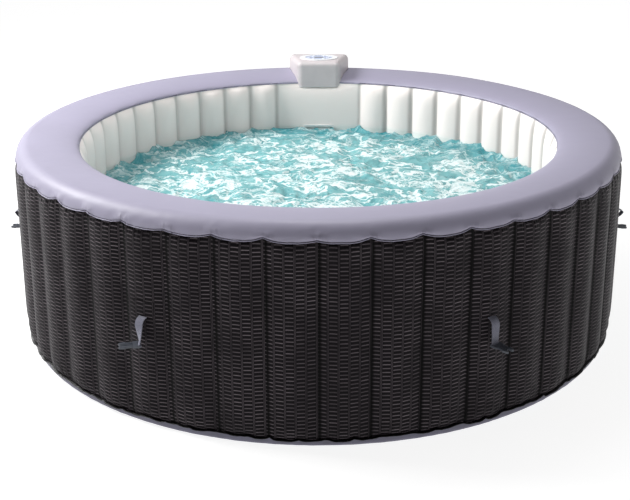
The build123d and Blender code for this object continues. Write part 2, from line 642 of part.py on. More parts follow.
def head_gasket():
    outline = head_block(0, INNER_SEAM_HEIGHT - HEAD_SKIRT)
    seal = outline & ring_block(SEAT + GASKET, 0)
    seal -= ring_block(SEAT, HEAD_SKIRT)
    seal -= disc(WELL_RADIUS, 0, HEAD_TOP)
    return seal - duct_hole(HEAD_BASE + GASKET + SEAT)


def pad_bezel():
    rim = Pos(0, PAD_MIDDLE) * (
        Ellipse(BEZEL_WIDTH / 2, BEZEL_DEPTH / 2) - Ellipse(PAD_WIDTH / 2, PAD_DEPTH / 2)
    )
    return upright(rim, HEAD_TOP, HEAD_TOP + BEZEL_HEIGHT)


def button_places():
    return {
        "button_power": (-BUTTON_SIDE, 0),
        "button_bubbles": (BUTTON_SIDE, 0),
        "button_heater": (-BUTTON_INSET, BUTTON_ROW),
        "button_filter": (BUTTON_INSET, BUTTON_ROW),
        "button_cooler": (-BUTTON_INSET, -BUTTON_ROW),
        "button_warmer": (BUTTON_INSET, -BUTTON_ROW),
    }


def pad_plate():
    face = Ellipse(PAD_WIDTH / 2, PAD_DEPTH / 2)
    face -= RectangleRounded(DISPLAY_WIDTH, DISPLAY_DEPTH, 3)
    for x, y in button_places().values():
        face -= Pos(x, y) * Circle(BUTTON_RADIUS + BUTTON_GAP)
    return upright(Pos(0, PAD_MIDDLE) * face, PAD_FACE - PAD_THICKNESS, PAD_FACE)


def display_window():
    lens = Pos(0, PAD_MIDDLE) * RectangleRounded(DISPLAY_WIDTH, DISPLAY_DEPTH, 3)
    return upright(lens, PAD_FACE - PAD_THICKNESS, PAD_FACE)


def button(x, y):
    high = PAD_FACE + BUTTON_PROUD
    cap = disc(BUTTON_RADIUS, high - BUTTON_LENGTH, high)
    cap = fillet(cap.edges().group_by(Axis.Z)[-1], BUTTON_PROUD / 2)
    return Pos(x, PAD_MIDDLE + y, 0) * cap


def control_board():
    board = RectangleRounded(BOARD_WIDTH, BOARD_DEPTH, BOARD_POST / 2)
    return upright(Pos(0, PAD_MIDDLE) * board, board_top() - BOARD_THICKNESS, board_top())


def wiring_duct():
    """Tube for the wires, from the pump pack up through the ring into the head."""
    low = PACK_BOTTOM + PACK_HEIGHT
    high = RING_HEIGHT + SEAT + GASKET + HEAD_BASE
    return tube(AIR_PIPE_RADIUS, AIR_PIPE_WALL, (0, HEAD_MIDDLE, low), (0, HEAD_MIDDLE, high))


# ---------------------------------------------------------------- pump pack
def pack_outline(inset):
    return RectangleRounded(PACK_WIDTH - 2 * inset, PACK_HEIGHT - 2 * inset, PACK_CORNER - inset)


def flange_outline():
    grow = 2 * PACK_FLANGE
    return RectangleRounded(PACK_WIDTH + grow, PACK_HEIGHT + grow, PACK_CORNER + PACK_FLANGE)


def screw_places():
    x = (PACK_WIDTH + PACK_FLANGE) / 2
    z = PACK_HEIGHT / 2 - PACK_CORNER
    return [(side * x, PACK_MIDDLE + level * z) for side in (-1, 1) for level in (-1, 0, 1)]


def pack_housing():
    """Moulded tray set into the wall, open to the rear, with a flange on the outer skin."""
    tray = outward(pack_outline(0), PACK_FRONT, FLANGE_FACE, z=PACK_MIDDLE)
    tray += outward(flange_outline(), FLANGE_FACE - PACK_WALL, FLANGE_FACE, z=PACK_MIDDLE)
    tray -= outward(pack_outline(PACK_WALL), TRAY_FLOOR, FLANGE_FACE, z=PACK_MIDDLE)
    supports = [
        block((PUMP_SIDE - CRADLE, PUMP_SIDE + CRADLE), (MOTOR_START, MOTOR_START + PUMP_MOTOR_LENGTH),
              (PACK_BOTTOM + PACK_WALL, PUMP_HEIGHT - PUMP_MOTOR_RADIUS / 2)),
        rod(BLOWER_MOTOR_RADIUS, (BLOWER_SIDE, TRAY_FLOOR, BLOWER_HEIGHT),
            (BLOWER_SIDE, BLOWER_MOTOR_START, BLOWER_HEIGHT)),
    ]
    for side in (-1, 1):
        supports.append(
            block((side * HEATER_SADDLE - CRADLE / 2, side * HEATER_SADDLE + CRADLE / 2),
                  (TRAY_FLOOR, WATER_PLANE), (HEATER_HEIGHT - CRADLE / 2, HEATER_HEIGHT + CRADLE / 2))
        )
    tray = tray + supports
    tray -= rod(PUMP_MOTOR_RADIUS + SEAT, (PUMP_SIDE, MOTOR_START, PUMP_HEIGHT),
                (PUMP_SIDE, MOTOR_START + PUMP_MOTOR_LENGTH, PUMP_HEIGHT))
    tray -= rod(HEATER_RADIUS + SEAT, (-HEATER_LENGTH, WATER_PLANE, HEATER_HEIGHT),
                (HEATER_LENGTH, WATER_PLANE, HEATER_HEIGHT)) & block(
        (-HEATER_LENGTH / 2, HEATER_LENGTH / 2), (TRAY_FLOOR, WATER_PLANE), (0, PACK_HEIGHT))
    for x, z in ((PUMP_SIDE, PUMP_HEIGHT), (RETURN_SIDE, HEATER_HEIGHT)):
        tray -= rod(PIPE_RADIUS + SEAT, (x, PACK_FRONT, z), (x, TRAY_FLOOR, z))
    tray -= rod(AIR_PIPE_RADIUS + SEAT, (AIR_SIDE, BLOWER_PLANE, PACK_BOTTOM),
                (AIR_SIDE, BLOWER_PLANE, PACK_BOTTOM + PACK_WALL))
    top = PACK_BOTTOM + PACK_HEIGHT
    tray -= rod(AIR_PIPE_RADIUS - AIR_PIPE_WALL, (0, HEAD_MIDDLE, top - PACK_WALL), (0, HEAD_MIDDLE, top))
    for x, z in screw_places():
        tray -= rod(SCREW_SHANK, (x, FLANGE_FACE - PACK_WALL, z), (x, FLANGE_FACE, z))
    return tray


def rear_cover():
    """Louvred cover over the pump pack, screwed to the housing's flange."""
    rise, taper = COVER_RISE, COVER_TAPER
    cover = outward(flange_outline(), FLANGE_FACE, FLANGE_FACE + COVER_WALL, z=PACK_MIDDLE)
    cover += outward(pack_outline(0), FLANGE_FACE, FLANGE_FACE + rise, z=PACK_MIDDLE, taper=taper)
    cover -= outward(pack_outline(COVER_WALL), FLANGE_FACE, FLANGE_FACE + rise - COVER_WALL,
                     z=PACK_MIDDLE, taper=taper)
    top = PACK_BOTTOM + PACK_HEIGHT - LOUVRE_TOP
    louvre = SlotOverall(LOUVRE_WIDTH, LOUVRE_HEIGHT)
    cuts = [
        outward(louvre, FLANGE_FACE, FLANGE_FACE + 2 * rise, z=top - index * LOUVRE_PITCH)
        for index in range(LOUVRES)
    ]
    for x, z in screw_places():
        cuts.append(rod(SCREW_SHANK, (x, FLANGE_FACE, z), (x, FLANGE_FACE + COVER_WALL, z)))
    x, y, z = GLAND_PLACE
    cuts.append(rod(GLAND_RADIUS + SEAT, (x, y, z), (x, y, z + GLAND_LENGTH)))
    return cover - cuts


def cover_screws():
    screws = []
    for x, z in screw_places():
        face = FLANGE_FACE + COVER_WALL
        head = rod(SCREW_HEAD, (x, face, z), (x, face + SCREW_HEAD / 2, z))
        head = fillet(head.edges().group_by(Axis.Y)[-1], SCREW_HEAD / 4)
        screws.append(head + rod(SCREW_SHANK, (x, face - COVER_WALL - PACK_WALL, z), (x, face, z)))
    return screws


def cord_gland():
    """Cable gland pointing down from the cover's lower side."""
    x, y, z = GLAND_PLACE
    body = rod(GLAND_RADIUS, (x, y, z - GLAND_LENGTH / 2), (x, y, z + GLAND_LENGTH / 2))
    nut = extrude(Pos(x, y, z - GLAND_LENGTH / 2) * RegularPolygon(GLAND_NUT, 6), amount=GLAND_LENGTH / 3)
    return body + nut - rod(GLAND_BORE, (x, y, z - GLAND_LENGTH), (x, y, z + GLAND_LENGTH))


def fan_housing(x, z, near, radius, width, wall, inlet, pipe, pipe_wall, side, motor_side, up):
    """Round casing with an inlet eye on one face, a shaft hole on the other and a side outlet."""
    far = near + width
    middle = near + width / 2
    outlet_x = x + side * (radius - pipe)
    end = z + up * (radius + pipe)
    casing = rod(radius, (x, near, z), (x, far, z))
    casing += rod(pipe, (outlet_x, middle, z), (outlet_x, middle, end))
    casing -= rod(radius - wall, (x, near + wall, z), (x, far - wall, z))
    casing -= rod(pipe - pipe_wall, (outlet_x, middle, z), (outlet_x, middle, end))
    eye_face, shaft_face = (near, far - wall) if motor_side > 0 else (far - wall, near)
    casing -= rod(inlet, (x, eye_face, z), (x, eye_face + wall, z))
    return casing - rod(SHAFT_RADIUS + RUNNING, (x, shaft_face, z), (x, shaft_face + wall, z))


def fan_wheel(x, z, near, radius, width, wall, blades, lean, motor_side):
    """Back plate, hub, blades and shaft of an impeller, running inside its casing."""
    low, high = near + wall + RUNNING, near + width - wall - RUNNING
    tip = radius - wall - TIP_GAP
    back = high if motor_side > 0 else low
    front = low + wall if motor_side > 0 else high - wall
    plate_end = back - motor_side * wall
    wheel = rod(tip, (x, min(back, plate_end), z), (x, max(back, plate_end), z))
    wheel += rod(HUB_RADIUS, (x, min(back, front), z), (x, max(back, front), z))
    root = HUB_RADIUS - BLADE_THICKNESS
    blade = block((0, 2 * tip), (min(plate_end, front), max(plate_end, front)),
                  (-BLADE_THICKNESS / 2, BLADE_THICKNESS / 2))
    blade = Pos(root, 0, 0) * Rot(0, lean, 0) * blade
    turns = [Pos(x, 0, z) * Rot(0, index * 360 / blades, 0) * blade for index in range(blades)]
    wheel = (wheel + turns) & rod(tip, (x, low, z), (x, high, z))
    end = back + motor_side * (wall + SHAFT_REACH)
    return wheel + rod(SHAFT_RADIUS, (x, min(back, end), z), (x, max(back, end), z))


def motor(x, z, start, end, radius, shaft_face):
    """Motor can with a bearing bore for the impeller's shaft."""
    can = rod(radius, (x, start, z), (x, end, z))
    can = fillet(can.edges().group_by(Axis.Y)[-1], radius / 8)
    depth = SHAFT_REACH + RUNNING
    inner = shaft_face + depth if shaft_face == start else shaft_face - depth
    return can - rod(SHAFT_RADIUS + RUNNING, (x, min(shaft_face, inner), z), (x, max(shaft_face, inner), z))


def heater_tube():
    """Stainless flow-through heater with closed ends, an inlet below and an outlet to the well."""
    half = HEATER_LENGTH / 2
    ends = (-half, WATER_PLANE, HEATER_HEIGHT), (half, WATER_PLANE, HEATER_HEIGHT)
    inlet = (OUTLET_SIDE, WATER_PLANE, HEATER_HEIGHT), (OUTLET_SIDE, WATER_PLANE, HEATER_INLET)
    outlet = (RETURN_SIDE, WATER_PLANE, HEATER_HEIGHT), (RETURN_SIDE, RETURN_END, HEATER_HEIGHT)
    shell = rod(HEATER_RADIUS, *ends) + rod(PIPE_RADIUS, *inlet) + rod(PIPE_RADIUS, *outlet)
    shell -= rod(HEATER_RADIUS - HEATER_WALL, (-half + HEATER_WALL, WATER_PLANE, HEATER_HEIGHT),
                 (half - HEATER_WALL, WATER_PLANE, HEATER_HEIGHT))
    return shell - rod(PIPE_RADIUS - PIPE_WALL, *inlet) - rod(PIPE_RADIUS - PIPE_WALL, *outlet)


def heater_element():
    """Hairpin rod fixed in one end of the heater tube."""
    bend = HEATER_RADIUS / 3
    start, turn = -HEATER_LENGTH / 2 + HEATER_WALL, HEATER_LENGTH / 2 - 3 * bend
    y, z = WATER_PLANE, HEATER_HEIGHT
    legs = [rod(HEATER_ROD, (start, y, z + side * bend), (turn, y, z + side * bend)) for side in (-1, 1)]
    path = ThreePointArc((turn, y, z - bend), (turn + bend, y, z), (turn, y, z + bend))
    plane = Plane(origin=(turn, y, z - bend), z_dir=(1, 0, 0))
    return legs[0] + legs[1] + sweep(plane * Circle(HEATER_ROD), path)


def water_hoses():
    """Pump to heater, and skimmer to the pump's suction pipe."""
    lift = tube(PIPE_RADIUS, PIPE_WALL, (OUTLET_SIDE, WATER_PLANE, PUMP_OUTLET),
                (OUTLET_SIDE, WATER_PLANE, HEATER_INLET))
    level = tube(AIR_PIPE_RADIUS, AIR_PIPE_WALL, (PUMP_SIDE, SLOT_PLANE, PUMP_HEIGHT),
                 (PUMP_SIDE, SLOT_PLANE, SLOT_LEVEL - SLOT_HEIGHT / 2 - PIPE_WALL))
    level -= rod(PIPE_RADIUS, (PUMP_SIDE, PANEL_WET, PUMP_HEIGHT), (PUMP_SIDE, PACK_FRONT, PUMP_HEIGHT))
    return [lift, level]


def air_hose():
    """Down from the blower, out of the housing and forwards to the bubble ring's fitting."""
    start = (AIR_SIDE, BLOWER_PLANE, BLOWER_OUTLET)
    corner = (AIR_SIDE, BLOWER_PLANE, AIR_HEIGHT)
    end = (AIR_SIDE, PANEL_DRY + FITTING_THICKNESS, AIR_HEIGHT)
    path = FilletPolyline(start, corner, end, radius=AIR_BEND)
    section = Circle(AIR_PIPE_RADIUS) - Circle(AIR_PIPE_RADIUS - AIR_PIPE_WALL)
    return sweep(Plane(origin=start, z_dir=(0, 0, -1)) * section, path)


# ---------------------------------------------------------------- fittings, drawn pointing to -Y
def air_fitting():
    x, z, r = AIR_SIDE, AIR_HEIGHT, AIR_PIPE_RADIUS
    pipe = tube(r, AIR_PIPE_WALL, (x, PANEL_WET - BUBBLE_WIDTH / 2, z), (x, PANEL_DRY, z))
    return pipe + tube(r + FITTING_FLANGE, FITTING_FLANGE + AIR_PIPE_WALL, (x, PANEL_DRY, z),
                       (x, PANEL_DRY + FITTING_THICKNESS, z))


def wet_fitting(x, z, back):
    """Flanged pipe through the wide panel, from the well to the pump pack."""
    flange = tube(PIPE_RADIUS + FITTING_FLANGE, FITTING_FLANGE + PIPE_WALL,
                  (x, PANEL_WET - SEAT - FITTING_THICKNESS, z), (x, PANEL_WET - SEAT, z))
    return flange + tube(PIPE_RADIUS, PIPE_WALL, (x, PANEL_WET - SEAT, z), (x, back, z))


def return_fitting():
    """Outlet into the well, with a cross grille in its mouth."""
    x, z = RETURN_SIDE, HEATER_HEIGHT
    near, far = PANEL_WET - SEAT - FITTING_THICKNESS, PANEL_WET - SEAT
    bar = PIPE_WALL / 2
    bars = [block((x - PIPE_RADIUS, x + PIPE_RADIUS), (near, far), (z - bar / 2, z + bar / 2)),
            block((x - bar / 2, x + bar / 2), (near, far), (z - PIPE_RADIUS, z + PIPE_RADIUS))]
    return wet_fitting(x, z, RETURN_END) + bars[0] + bars[1]


def suction_fitting():
    """Suction pipe with the threaded neck that carries the filter cap."""
    x, z = PUMP_SIDE, PUMP_HEIGHT
    near = PANEL_WET - SEAT
    fitting = wet_fitting(x, z, PUMP_FRONT)
    plate = rod(FILTER_NECK + FITTING_FLANGE, (x, near - FITTING_THICKNESS, z), (x, near, z))
    plate -= rod(PIPE_RADIUS, (x, near - FITTING_THICKNESS, z), (x, near, z))
    neck = tube(FILTER_NECK, NECK_WALL, (x, near - FITTING_THICKNESS - FILTER_NECK_HEIGHT, z),
                (x, near - FITTING_THICKNESS, z))
    bore = rod(AIR_PIPE_RADIUS - AIR_PIPE_WALL, (x, SLOT_PLANE, z), (x, SLOT_PLANE, z + PIPE_RADIUS))
    return fitting + plate + neck - bore


def filter_cartridge():
    """Pleated paper cylinder with a flat disc at each end and a bore through it."""
    x, z = PUMP_SIDE, PUMP_HEIGHT
    far = PANEL_WET - SEAT - FITTING_THICKNESS - SEAT
    near = far - FILTER_LENGTH
    points = []
    for index in range(2 * FILTER_PLEATS):
        radius = FILTER_RADIUS - FILTER_END_LIP if index % 2 else FILTER_RADIUS - FILTER_PLEAT_DEPTH
        angle = index * pi / FILTER_PLEATS
        points.append((radius * cos(angle), radius * sin(angle)))
    pleats = outward(Polygon(*points, align=None), near, far, x=x, z=z)
    ends = [
        rod(FILTER_RADIUS, (x, near, z), (x, near + FILTER_END, z)),
        rod(FILTER_RADIUS, (x, far - FILTER_END, z), (x, far, z)),
    ]
    return pleats + ends - rod(FILTER_BORE, (x, near, z), (x, far, z))


def skimmer_frame():
    """Slot at the water line: a frame in the well and a shallow closed duct behind it."""
    rim = RectangleRounded(SLOT_WIDTH + 2 * SLOT_RIM, SLOT_HEIGHT + 2 * SLOT_RIM, SLOT_RIM)
    duct = RectangleRounded(SLOT_WIDTH + 2 * PIPE_WALL, SLOT_HEIGHT + 2 * PIPE_WALL, PIPE_WALL)
    near = PANEL_WET - SEAT
    frame = outward(rim, near - SKIN, near, z=SLOT_LEVEL)
    frame += outward(duct, near, SLOT_BACK, z=SLOT_LEVEL)
    frame -= outward(SlotOverall(SLOT_WIDTH, SLOT_HEIGHT), near - SKIN, SLOT_BACK - PIPE_WALL, z=SLOT_LEVEL)
    bore = rod(AIR_PIPE_RADIUS - AIR_PIPE_WALL, (PUMP_SIDE, SLOT_PLANE, SLOT_LEVEL - SLOT_HEIGHT),
               (PUMP_SIDE, SLOT_PLANE, SLOT_LEVEL))
    return frame - bore


def screw_cap(place, neck, neck_height, reach, slots=0):
    """Cap over a neck that starts at the origin and points to -Y; reach is its depth past the neck."""
    shoulder = -(neck_height + SEAL_THICKNESS)
    end = shoulder - reach - CAP_WALL
    outside = neck + NECK_GAP + CAP_WALL
    cap = rod(outside, (0, -SEAT, 0), (0, end, 0))
    cap -= rod(neck + NECK_GAP, (0, 0, 0), (0, shoulder, 0))
    if reach:
        cap -= rod(neck - NECK_WALL, (0, shoulder, 0), (0, end + CAP_WALL, 0))
    half = outside * pi / KNURLS / 6
    groove = block((-half, half), (end, -SEAT), (outside - KNURL_DEPTH, outside + KNURL_DEPTH))
    cuts = [Rot(0, index * 360 / KNURLS, 0) * groove for index in range(KNURLS)]
    slot_span = (end + 2 * CAP_WALL, shoulder - CAP_WALL)
    for index in range(slots):
        slot = block((-CAP_WALL / 2, CAP_WALL / 2), slot_span, (0, 2 * outside))
        cuts.append(Rot(0, (index + 0.5) * 360 / slots, 0) * slot)
    return place * (cap - cuts)


def cap_seal(place, neck, neck_height):
    """Flat washer between a neck's end and the shoulder inside its cap."""
    return place * tube(neck, NECK_WALL, (0, -neck_height, 0), (0, -neck_height - SEAL_THICKNESS, 0))


def filter_place():
    return Pos(PUMP_SIDE, PANEL_WET - SEAT - FITTING_THICKNESS, PUMP_HEIGHT)


def valve_place():
    """On the crest of a flute beside the wide panel, at the outer wall's face."""
    angle = PANEL_EDGE + VALVE_FLUTE * PITCH
    return Rot(0, 0, angle) * Pos(0, -OUTER_RADIUS, VALVE_HEIGHT)


def drain_place():
    angle = -(PANEL_EDGE + VALVE_FLUTE * PITCH)
    return Rot(0, 0, angle) * Pos(0, -OUTER_RADIUS, DRAIN_HEIGHT)


def on_flange(place):
    return place * Pos(0, -SEAT - FITTING_THICKNESS, 0)


def air_valve_body():
    """Inflation valve: flange on the wall, neck outside and an open barrel inside."""
    flange = tube(VALVE_NECK + FITTING_FLANGE, FITTING_FLANGE + NECK_WALL,
                  (0, -SEAT - FITTING_THICKNESS, 0), (0, -SEAT, 0))
    sleeve = tube(VALVE_NECK - SEAT, NECK_WALL - SEAT, (0, -SEAT, 0), (0, VALVE_DEPTH, 0))
    neck = tube(VALVE_NECK, NECK_WALL, (0, -SEAT - FITTING_THICKNESS - VALVE_NECK_HEIGHT, 0),
                (0, -SEAT - FITTING_THICKNESS, 0))
    return valve_place() * (flange + sleeve + neck)


def drain_valve_body():
    """Drain: a pipe from the well through both walls to a hose neck outside."""
    inner_end = OUTER_RADIUS - WELL_RADIUS + INNER_FLUTE_DEPTH + FITTING_THICKNESS + SEAT
    flange = tube(DRAIN_NECK + FITTING_FLANGE, FITTING_FLANGE + NECK_WALL,
                  (0, -SEAT - FITTING_THICKNESS, 0), (0, -SEAT, 0))
    pipe = tube(DRAIN_NECK - SEAT, NECK_WALL - SEAT, (0, -SEAT, 0), (0, inner_end, 0))
    wet = tube(DRAIN_NECK + FITTING_FLANGE, FITTING_FLANGE + NECK_WALL, (0, inner_end - FITTING_THICKNESS, 0),
               (0, inner_end, 0))
    neck = tube(DRAIN_NECK, NECK_WALL, (0, -SEAT - FITTING_THICKNESS - DRAIN_NECK_HEIGHT, 0),
                (0, -SEAT - FITTING_THICKNESS, 0))
    return drain_place() * (flange + pipe + wet + neck)


# ---------------------------------------------------------------- the whole tub
def build():
    nodes = {
        "outer_wall": outer_wall(),
        "inner_wall": inner_wall(),
        "top_ring": top_ring(),
        "ring_seams": [outer_seam(), inner_seam()],
        "bottom_pan": bottom_pan(),
        "bottom_weld": bottom_weld(),
        "floor_liner": disc(WELL_RADIUS + SKIN, SKIN, FLOOR_TOP),
        "wall_ribs": wall_ribs(),
        "bubble_ring": bubble_ring(),
        "strap_patches": strap_patches(),
        "head_cover": head_cover(),
        "head_base": head_base(),
        "head_gasket": head_gasket(),
        "pad_bezel": pad_bezel(),
        "pad_plate": pad_plate(),
        "display_window": display_window(),
        "control_board": control_board(),
        "pack_housing": pack_housing(),
        "rear_cover": rear_cover(),
        "cover_screws": cover_screws(),
        "cord_gland": cord_gland(),
        "pump_housing": fan_housing(
            PUMP_SIDE, PUMP_HEIGHT, PUMP_FRONT, PUMP_RADIUS, PUMP_WIDTH, PUMP_WALL,
            PIPE_RADIUS - PIPE_WALL, PIPE_RADIUS, PIPE_WALL, 1, 1, 1,
        ),
        "pump_impeller": fan_wheel(
            PUMP_SIDE, PUMP_HEIGHT, PUMP_FRONT, PUMP_RADIUS, PUMP_WIDTH, PUMP_WALL,
            PUMP_BLADES, BLADE_LEAN, 1,
        ),
        "pump_motor": motor(
            PUMP_SIDE, PUMP_HEIGHT, MOTOR_START, MOTOR_START + PUMP_MOTOR_LENGTH,
            PUMP_MOTOR_RADIUS, MOTOR_START,
        ),
        "heater_tube": heater_tube(),
        "heater_element": heater_element(),
        "blower_housing": fan_housing(
            BLOWER_SIDE, BLOWER_HEIGHT, BLOWER_NEAR, BLOWER_RADIUS, BLOWER_WIDTH, BLOWER_WALL,
            BLOWER_RADIUS / 3, AIR_PIPE_RADIUS, AIR_PIPE_WALL, -1, -1, -1,
        ),
        "blower_impeller": fan_wheel(
            BLOWER_SIDE, BLOWER_HEIGHT, BLOWER_NEAR, BLOWER_RADIUS, BLOWER_WIDTH, BLOWER_WALL,
            BLOWER_BLADES, BLADE_LEAN, -1,
        ),
        "blower_motor": motor(
            BLOWER_SIDE, BLOWER_HEIGHT, BLOWER_MOTOR_START, BLOWER_NEAR, BLOWER_MOTOR_RADIUS, BLOWER_NEAR
        ),
        "pack_hoses": [*water_hoses(), air_hose(), wiring_duct()],
        "suction_fitting": suction_fitting(),
        "well_fittings": [return_fitting(), air_fitting()],
        "skimmer_frame": skimmer_frame(),
        "filter_cartridge": filter_cartridge(),
        "filter_seal": cap_seal(filter_place(), FILTER_NECK, FILTER_NECK_HEIGHT),
        "filter_cap": screw_cap(
            filter_place(), FILTER_NECK, FILTER_NECK_HEIGHT,
            FILTER_LENGTH + CAP_GAP - FILTER_NECK_HEIGHT - SEAL_THICKNESS, CAP_SLOTS,
        ),
        "air_valve_body": air_valve_body(),
        "air_valve_seal": cap_seal(on_flange(valve_place()), VALVE_NECK, VALVE_NECK_HEIGHT),
        "air_valve_cap": screw_cap(on_flange(valve_place()), VALVE_NECK, VALVE_NECK_HEIGHT, 0),
        "drain_body": drain_valve_body(),
        "drain_seal": cap_seal(on_flange(drain_place()), DRAIN_NECK, DRAIN_NECK_HEIGHT),
        "drain_cap": screw_cap(on_flange(drain_place()), DRAIN_NECK, DRAIN_NECK_HEIGHT, 0),
    }
    for name, (x, y) in button_places().items():
        nodes[name] = button(x, y)
    for number, (angle, twist) in enumerate(zip(STRAP_ANGLES, STRAP_TWISTS), start=1):
        nodes[f"strap_{number}"] = Rot(0, 0, angle) * strap(twist)
        nodes[f"buckle_{number}"] = Rot(0, 0, angle) * buckle(twist)
    return nodes


def solids_of(shape):
    """Every separate solid of a node."""
    pieces = shape if isinstance(shape, list) else [shape]
    return [solid for piece in pieces for solid in piece.solids()]


os.makedirs("parts", exist_ok=True)
for name, shape in build().items():
    solids = solids_of(shape)
    export_step(solids[0] if len(solids) == 1 else Compound(children=solids), f"parts/{name}.step")
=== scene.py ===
import json
import math
import random

import bmesh
import bpy
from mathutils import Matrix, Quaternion, Vector, noise

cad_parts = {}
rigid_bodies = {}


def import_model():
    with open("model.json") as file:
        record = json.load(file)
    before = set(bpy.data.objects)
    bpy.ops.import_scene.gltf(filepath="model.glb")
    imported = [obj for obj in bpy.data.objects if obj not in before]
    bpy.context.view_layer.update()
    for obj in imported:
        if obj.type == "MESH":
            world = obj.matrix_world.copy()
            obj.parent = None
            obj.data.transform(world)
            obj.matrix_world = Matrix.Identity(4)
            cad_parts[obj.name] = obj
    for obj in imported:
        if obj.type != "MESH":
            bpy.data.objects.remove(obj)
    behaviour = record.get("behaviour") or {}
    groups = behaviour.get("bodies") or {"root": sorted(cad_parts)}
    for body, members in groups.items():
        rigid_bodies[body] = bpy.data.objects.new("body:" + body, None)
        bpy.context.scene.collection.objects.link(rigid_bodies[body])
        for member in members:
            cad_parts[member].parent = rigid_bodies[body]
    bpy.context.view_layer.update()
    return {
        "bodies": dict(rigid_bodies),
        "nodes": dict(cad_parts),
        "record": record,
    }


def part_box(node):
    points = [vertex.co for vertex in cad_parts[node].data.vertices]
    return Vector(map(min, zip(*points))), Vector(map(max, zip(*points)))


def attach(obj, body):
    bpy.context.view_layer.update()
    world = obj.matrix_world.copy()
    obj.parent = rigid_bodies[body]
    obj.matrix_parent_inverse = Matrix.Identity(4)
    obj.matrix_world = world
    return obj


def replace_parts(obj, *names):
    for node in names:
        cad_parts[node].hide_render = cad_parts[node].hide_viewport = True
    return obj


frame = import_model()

bl_info = {
    "name": "Inflatable hot tub",
    "version": (1, 0, 0),
    "blender": (4, 5, 0),
    "location": "View3D > Sidebar > Tub",
    "description": "Dresses an inflatable hot tub: printed and plain PVC, water, fittings and a plain studio",
    "category": "Object",
}

NODES = frame["nodes"]
MM = 0.001

# ---------------------------------------------------------------- places, read from the frame
RING_LOW, RING_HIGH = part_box("top_ring")
WALL_LOW, WALL_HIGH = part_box("outer_wall")
LINER_LOW, LINER_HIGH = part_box("inner_wall")
FLOOR_LOW, FLOOR_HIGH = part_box("floor_liner")
SLOT_LOW, SLOT_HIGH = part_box("skimmer_frame")
WELD_LOW, WELD_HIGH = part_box("bottom_weld")

OUTER_RADIUS = WALL_HIGH.x  # over the flute crests
SEAM_RADIUS = RING_HIGH.x  # outer edge of the ring
WELL_RADIUS = LINER_HIGH.x - 3 * MM  # weld lines of the liner
FLUTE_DEPTH, LINER_DEPTH = 14 * MM, 24 * MM
FLUTES = 42
PANEL_ANGLE = math.radians(24.4)
PITCH = (math.tau - PANEL_ANGLE) / FLUTES
PANEL_EDGE = math.pi + PANEL_ANGLE / 2
OUTER_SEAM = WALL_HIGH.z
INNER_SEAM = LINER_HIGH.z
CROWN = RING_HIGH.z
CROWN_RADIUS = OUTER_RADIUS - 50 * MM
SLOT_HEIGHT = 431 * MM
SIDE_BOWS = {3: 40 * MM, 4: 42 * MM}
BODIES = frame["bodies"]
JOINTS = {joint["name"]: joint for joint in frame["record"]["behaviour"]["joints"]}
VALVES = [(low + high) / 2 for low, high in map(lambda name: map(Vector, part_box(name)),
                                                 ("air_valve_cap", "drain_cap"))]


def linear(code, alpha=1.0):
    """An sRGB hex colour as the linear colour that a shader takes."""
    parts = [int(code[i:i + 2], 16) / 255 for i in (1, 3, 5)]
    return (*[c / 12.92 if c <= 0.04045 else ((c + 0.055) / 1.055) ** 2.4 for c in parts], alpha)


def shown(code):
    """The same colour for a colour property's default."""
    return linear(code)[:3]


def settings():
    return bpy.context.scene.tub_colours, bpy.context.scene.tub_sizes


# ---------------------------------------------------------------- user settings
class TubColours(bpy.types.PropertyGroup):
    ring: bpy.props.FloatVectorProperty(
        name="Ring", description="Plain PVC of the top ring", subtype="COLOR", default=shown("#9E9AAE"))
    wall_ground: bpy.props.FloatVectorProperty(
        name="Wall ground", description="Dark ground of the printed wall", subtype="COLOR",
        default=shown("#0A080B"))
    wall_cane: bpy.props.FloatVectorProperty(
        name="Wall cane", description="Light canes of the printed wall", subtype="COLOR",
        default=shown("#8A8086"))
    liner: bpy.props.FloatVectorProperty(
        name="Liner", description="White PVC of the well", subtype="COLOR", default=shown("#F8EEEA"))
    water: bpy.props.FloatVectorProperty(
        name="Water", description="Tint of the water", subtype="COLOR", default=shown("#74AFB2"))
    head: bpy.props.FloatVectorProperty(
        name="Head", description="Moulded control head", subtype="COLOR", default=shown("#C8C0C2"))


class TubSizes(bpy.types.PropertyGroup):
    water_depth: bpy.props.FloatProperty(
        name="Water depth", description="Water level above the ground", subtype="DISTANCE", unit="LENGTH",
        default=SLOT_HEIGHT - 13 * MM)
    wave_height: bpy.props.FloatProperty(
        name="Wave height", description="Half height of the largest waves", subtype="DISTANCE", unit="LENGTH",
        default=20 * MM)
    cane_length: bpy.props.FloatProperty(
        name="Cane length", description="Width of one printed cane", subtype="DISTANCE", unit="LENGTH",
        default=22 * MM)
    cane_pitch: bpy.props.FloatProperty(
        name="Cane pitch", description="Height from one printed cane to the next", subtype="DISTANCE",
        unit="LENGTH", default=11.5 * MM)


# ---------------------------------------------------------------- node helper
def add(tree, kind, inputs=None, **values):
    """Adds a node, sets its own values, and sets or links its inputs."""
    node = tree.nodes.new(kind)
    for name, value in values.items():
        setattr(node, name, value)
    for key, value in (inputs or {}).items():
        if isinstance(value, bpy.types.NodeSocket):
            tree.links.new(value, node.inputs[key])
        else:
            node.inputs[key].default_value = value
    return node


def new_material(name):
    """An empty material with its node tree, shader and coordinates."""
    mat = bpy.data.materials.new(name)
    mat.use_nodes = True
    tree = mat.node_tree
    tree.nodes.clear()
    shader = add(tree, "ShaderNodeBsdfPrincipled")
    add(tree, "ShaderNodeOutputMaterial", {"Surface": shader.outputs["BSDF"]})
    place = add(tree, "ShaderNodeTexCoord").outputs["Object"]
    return mat, tree, shader, place


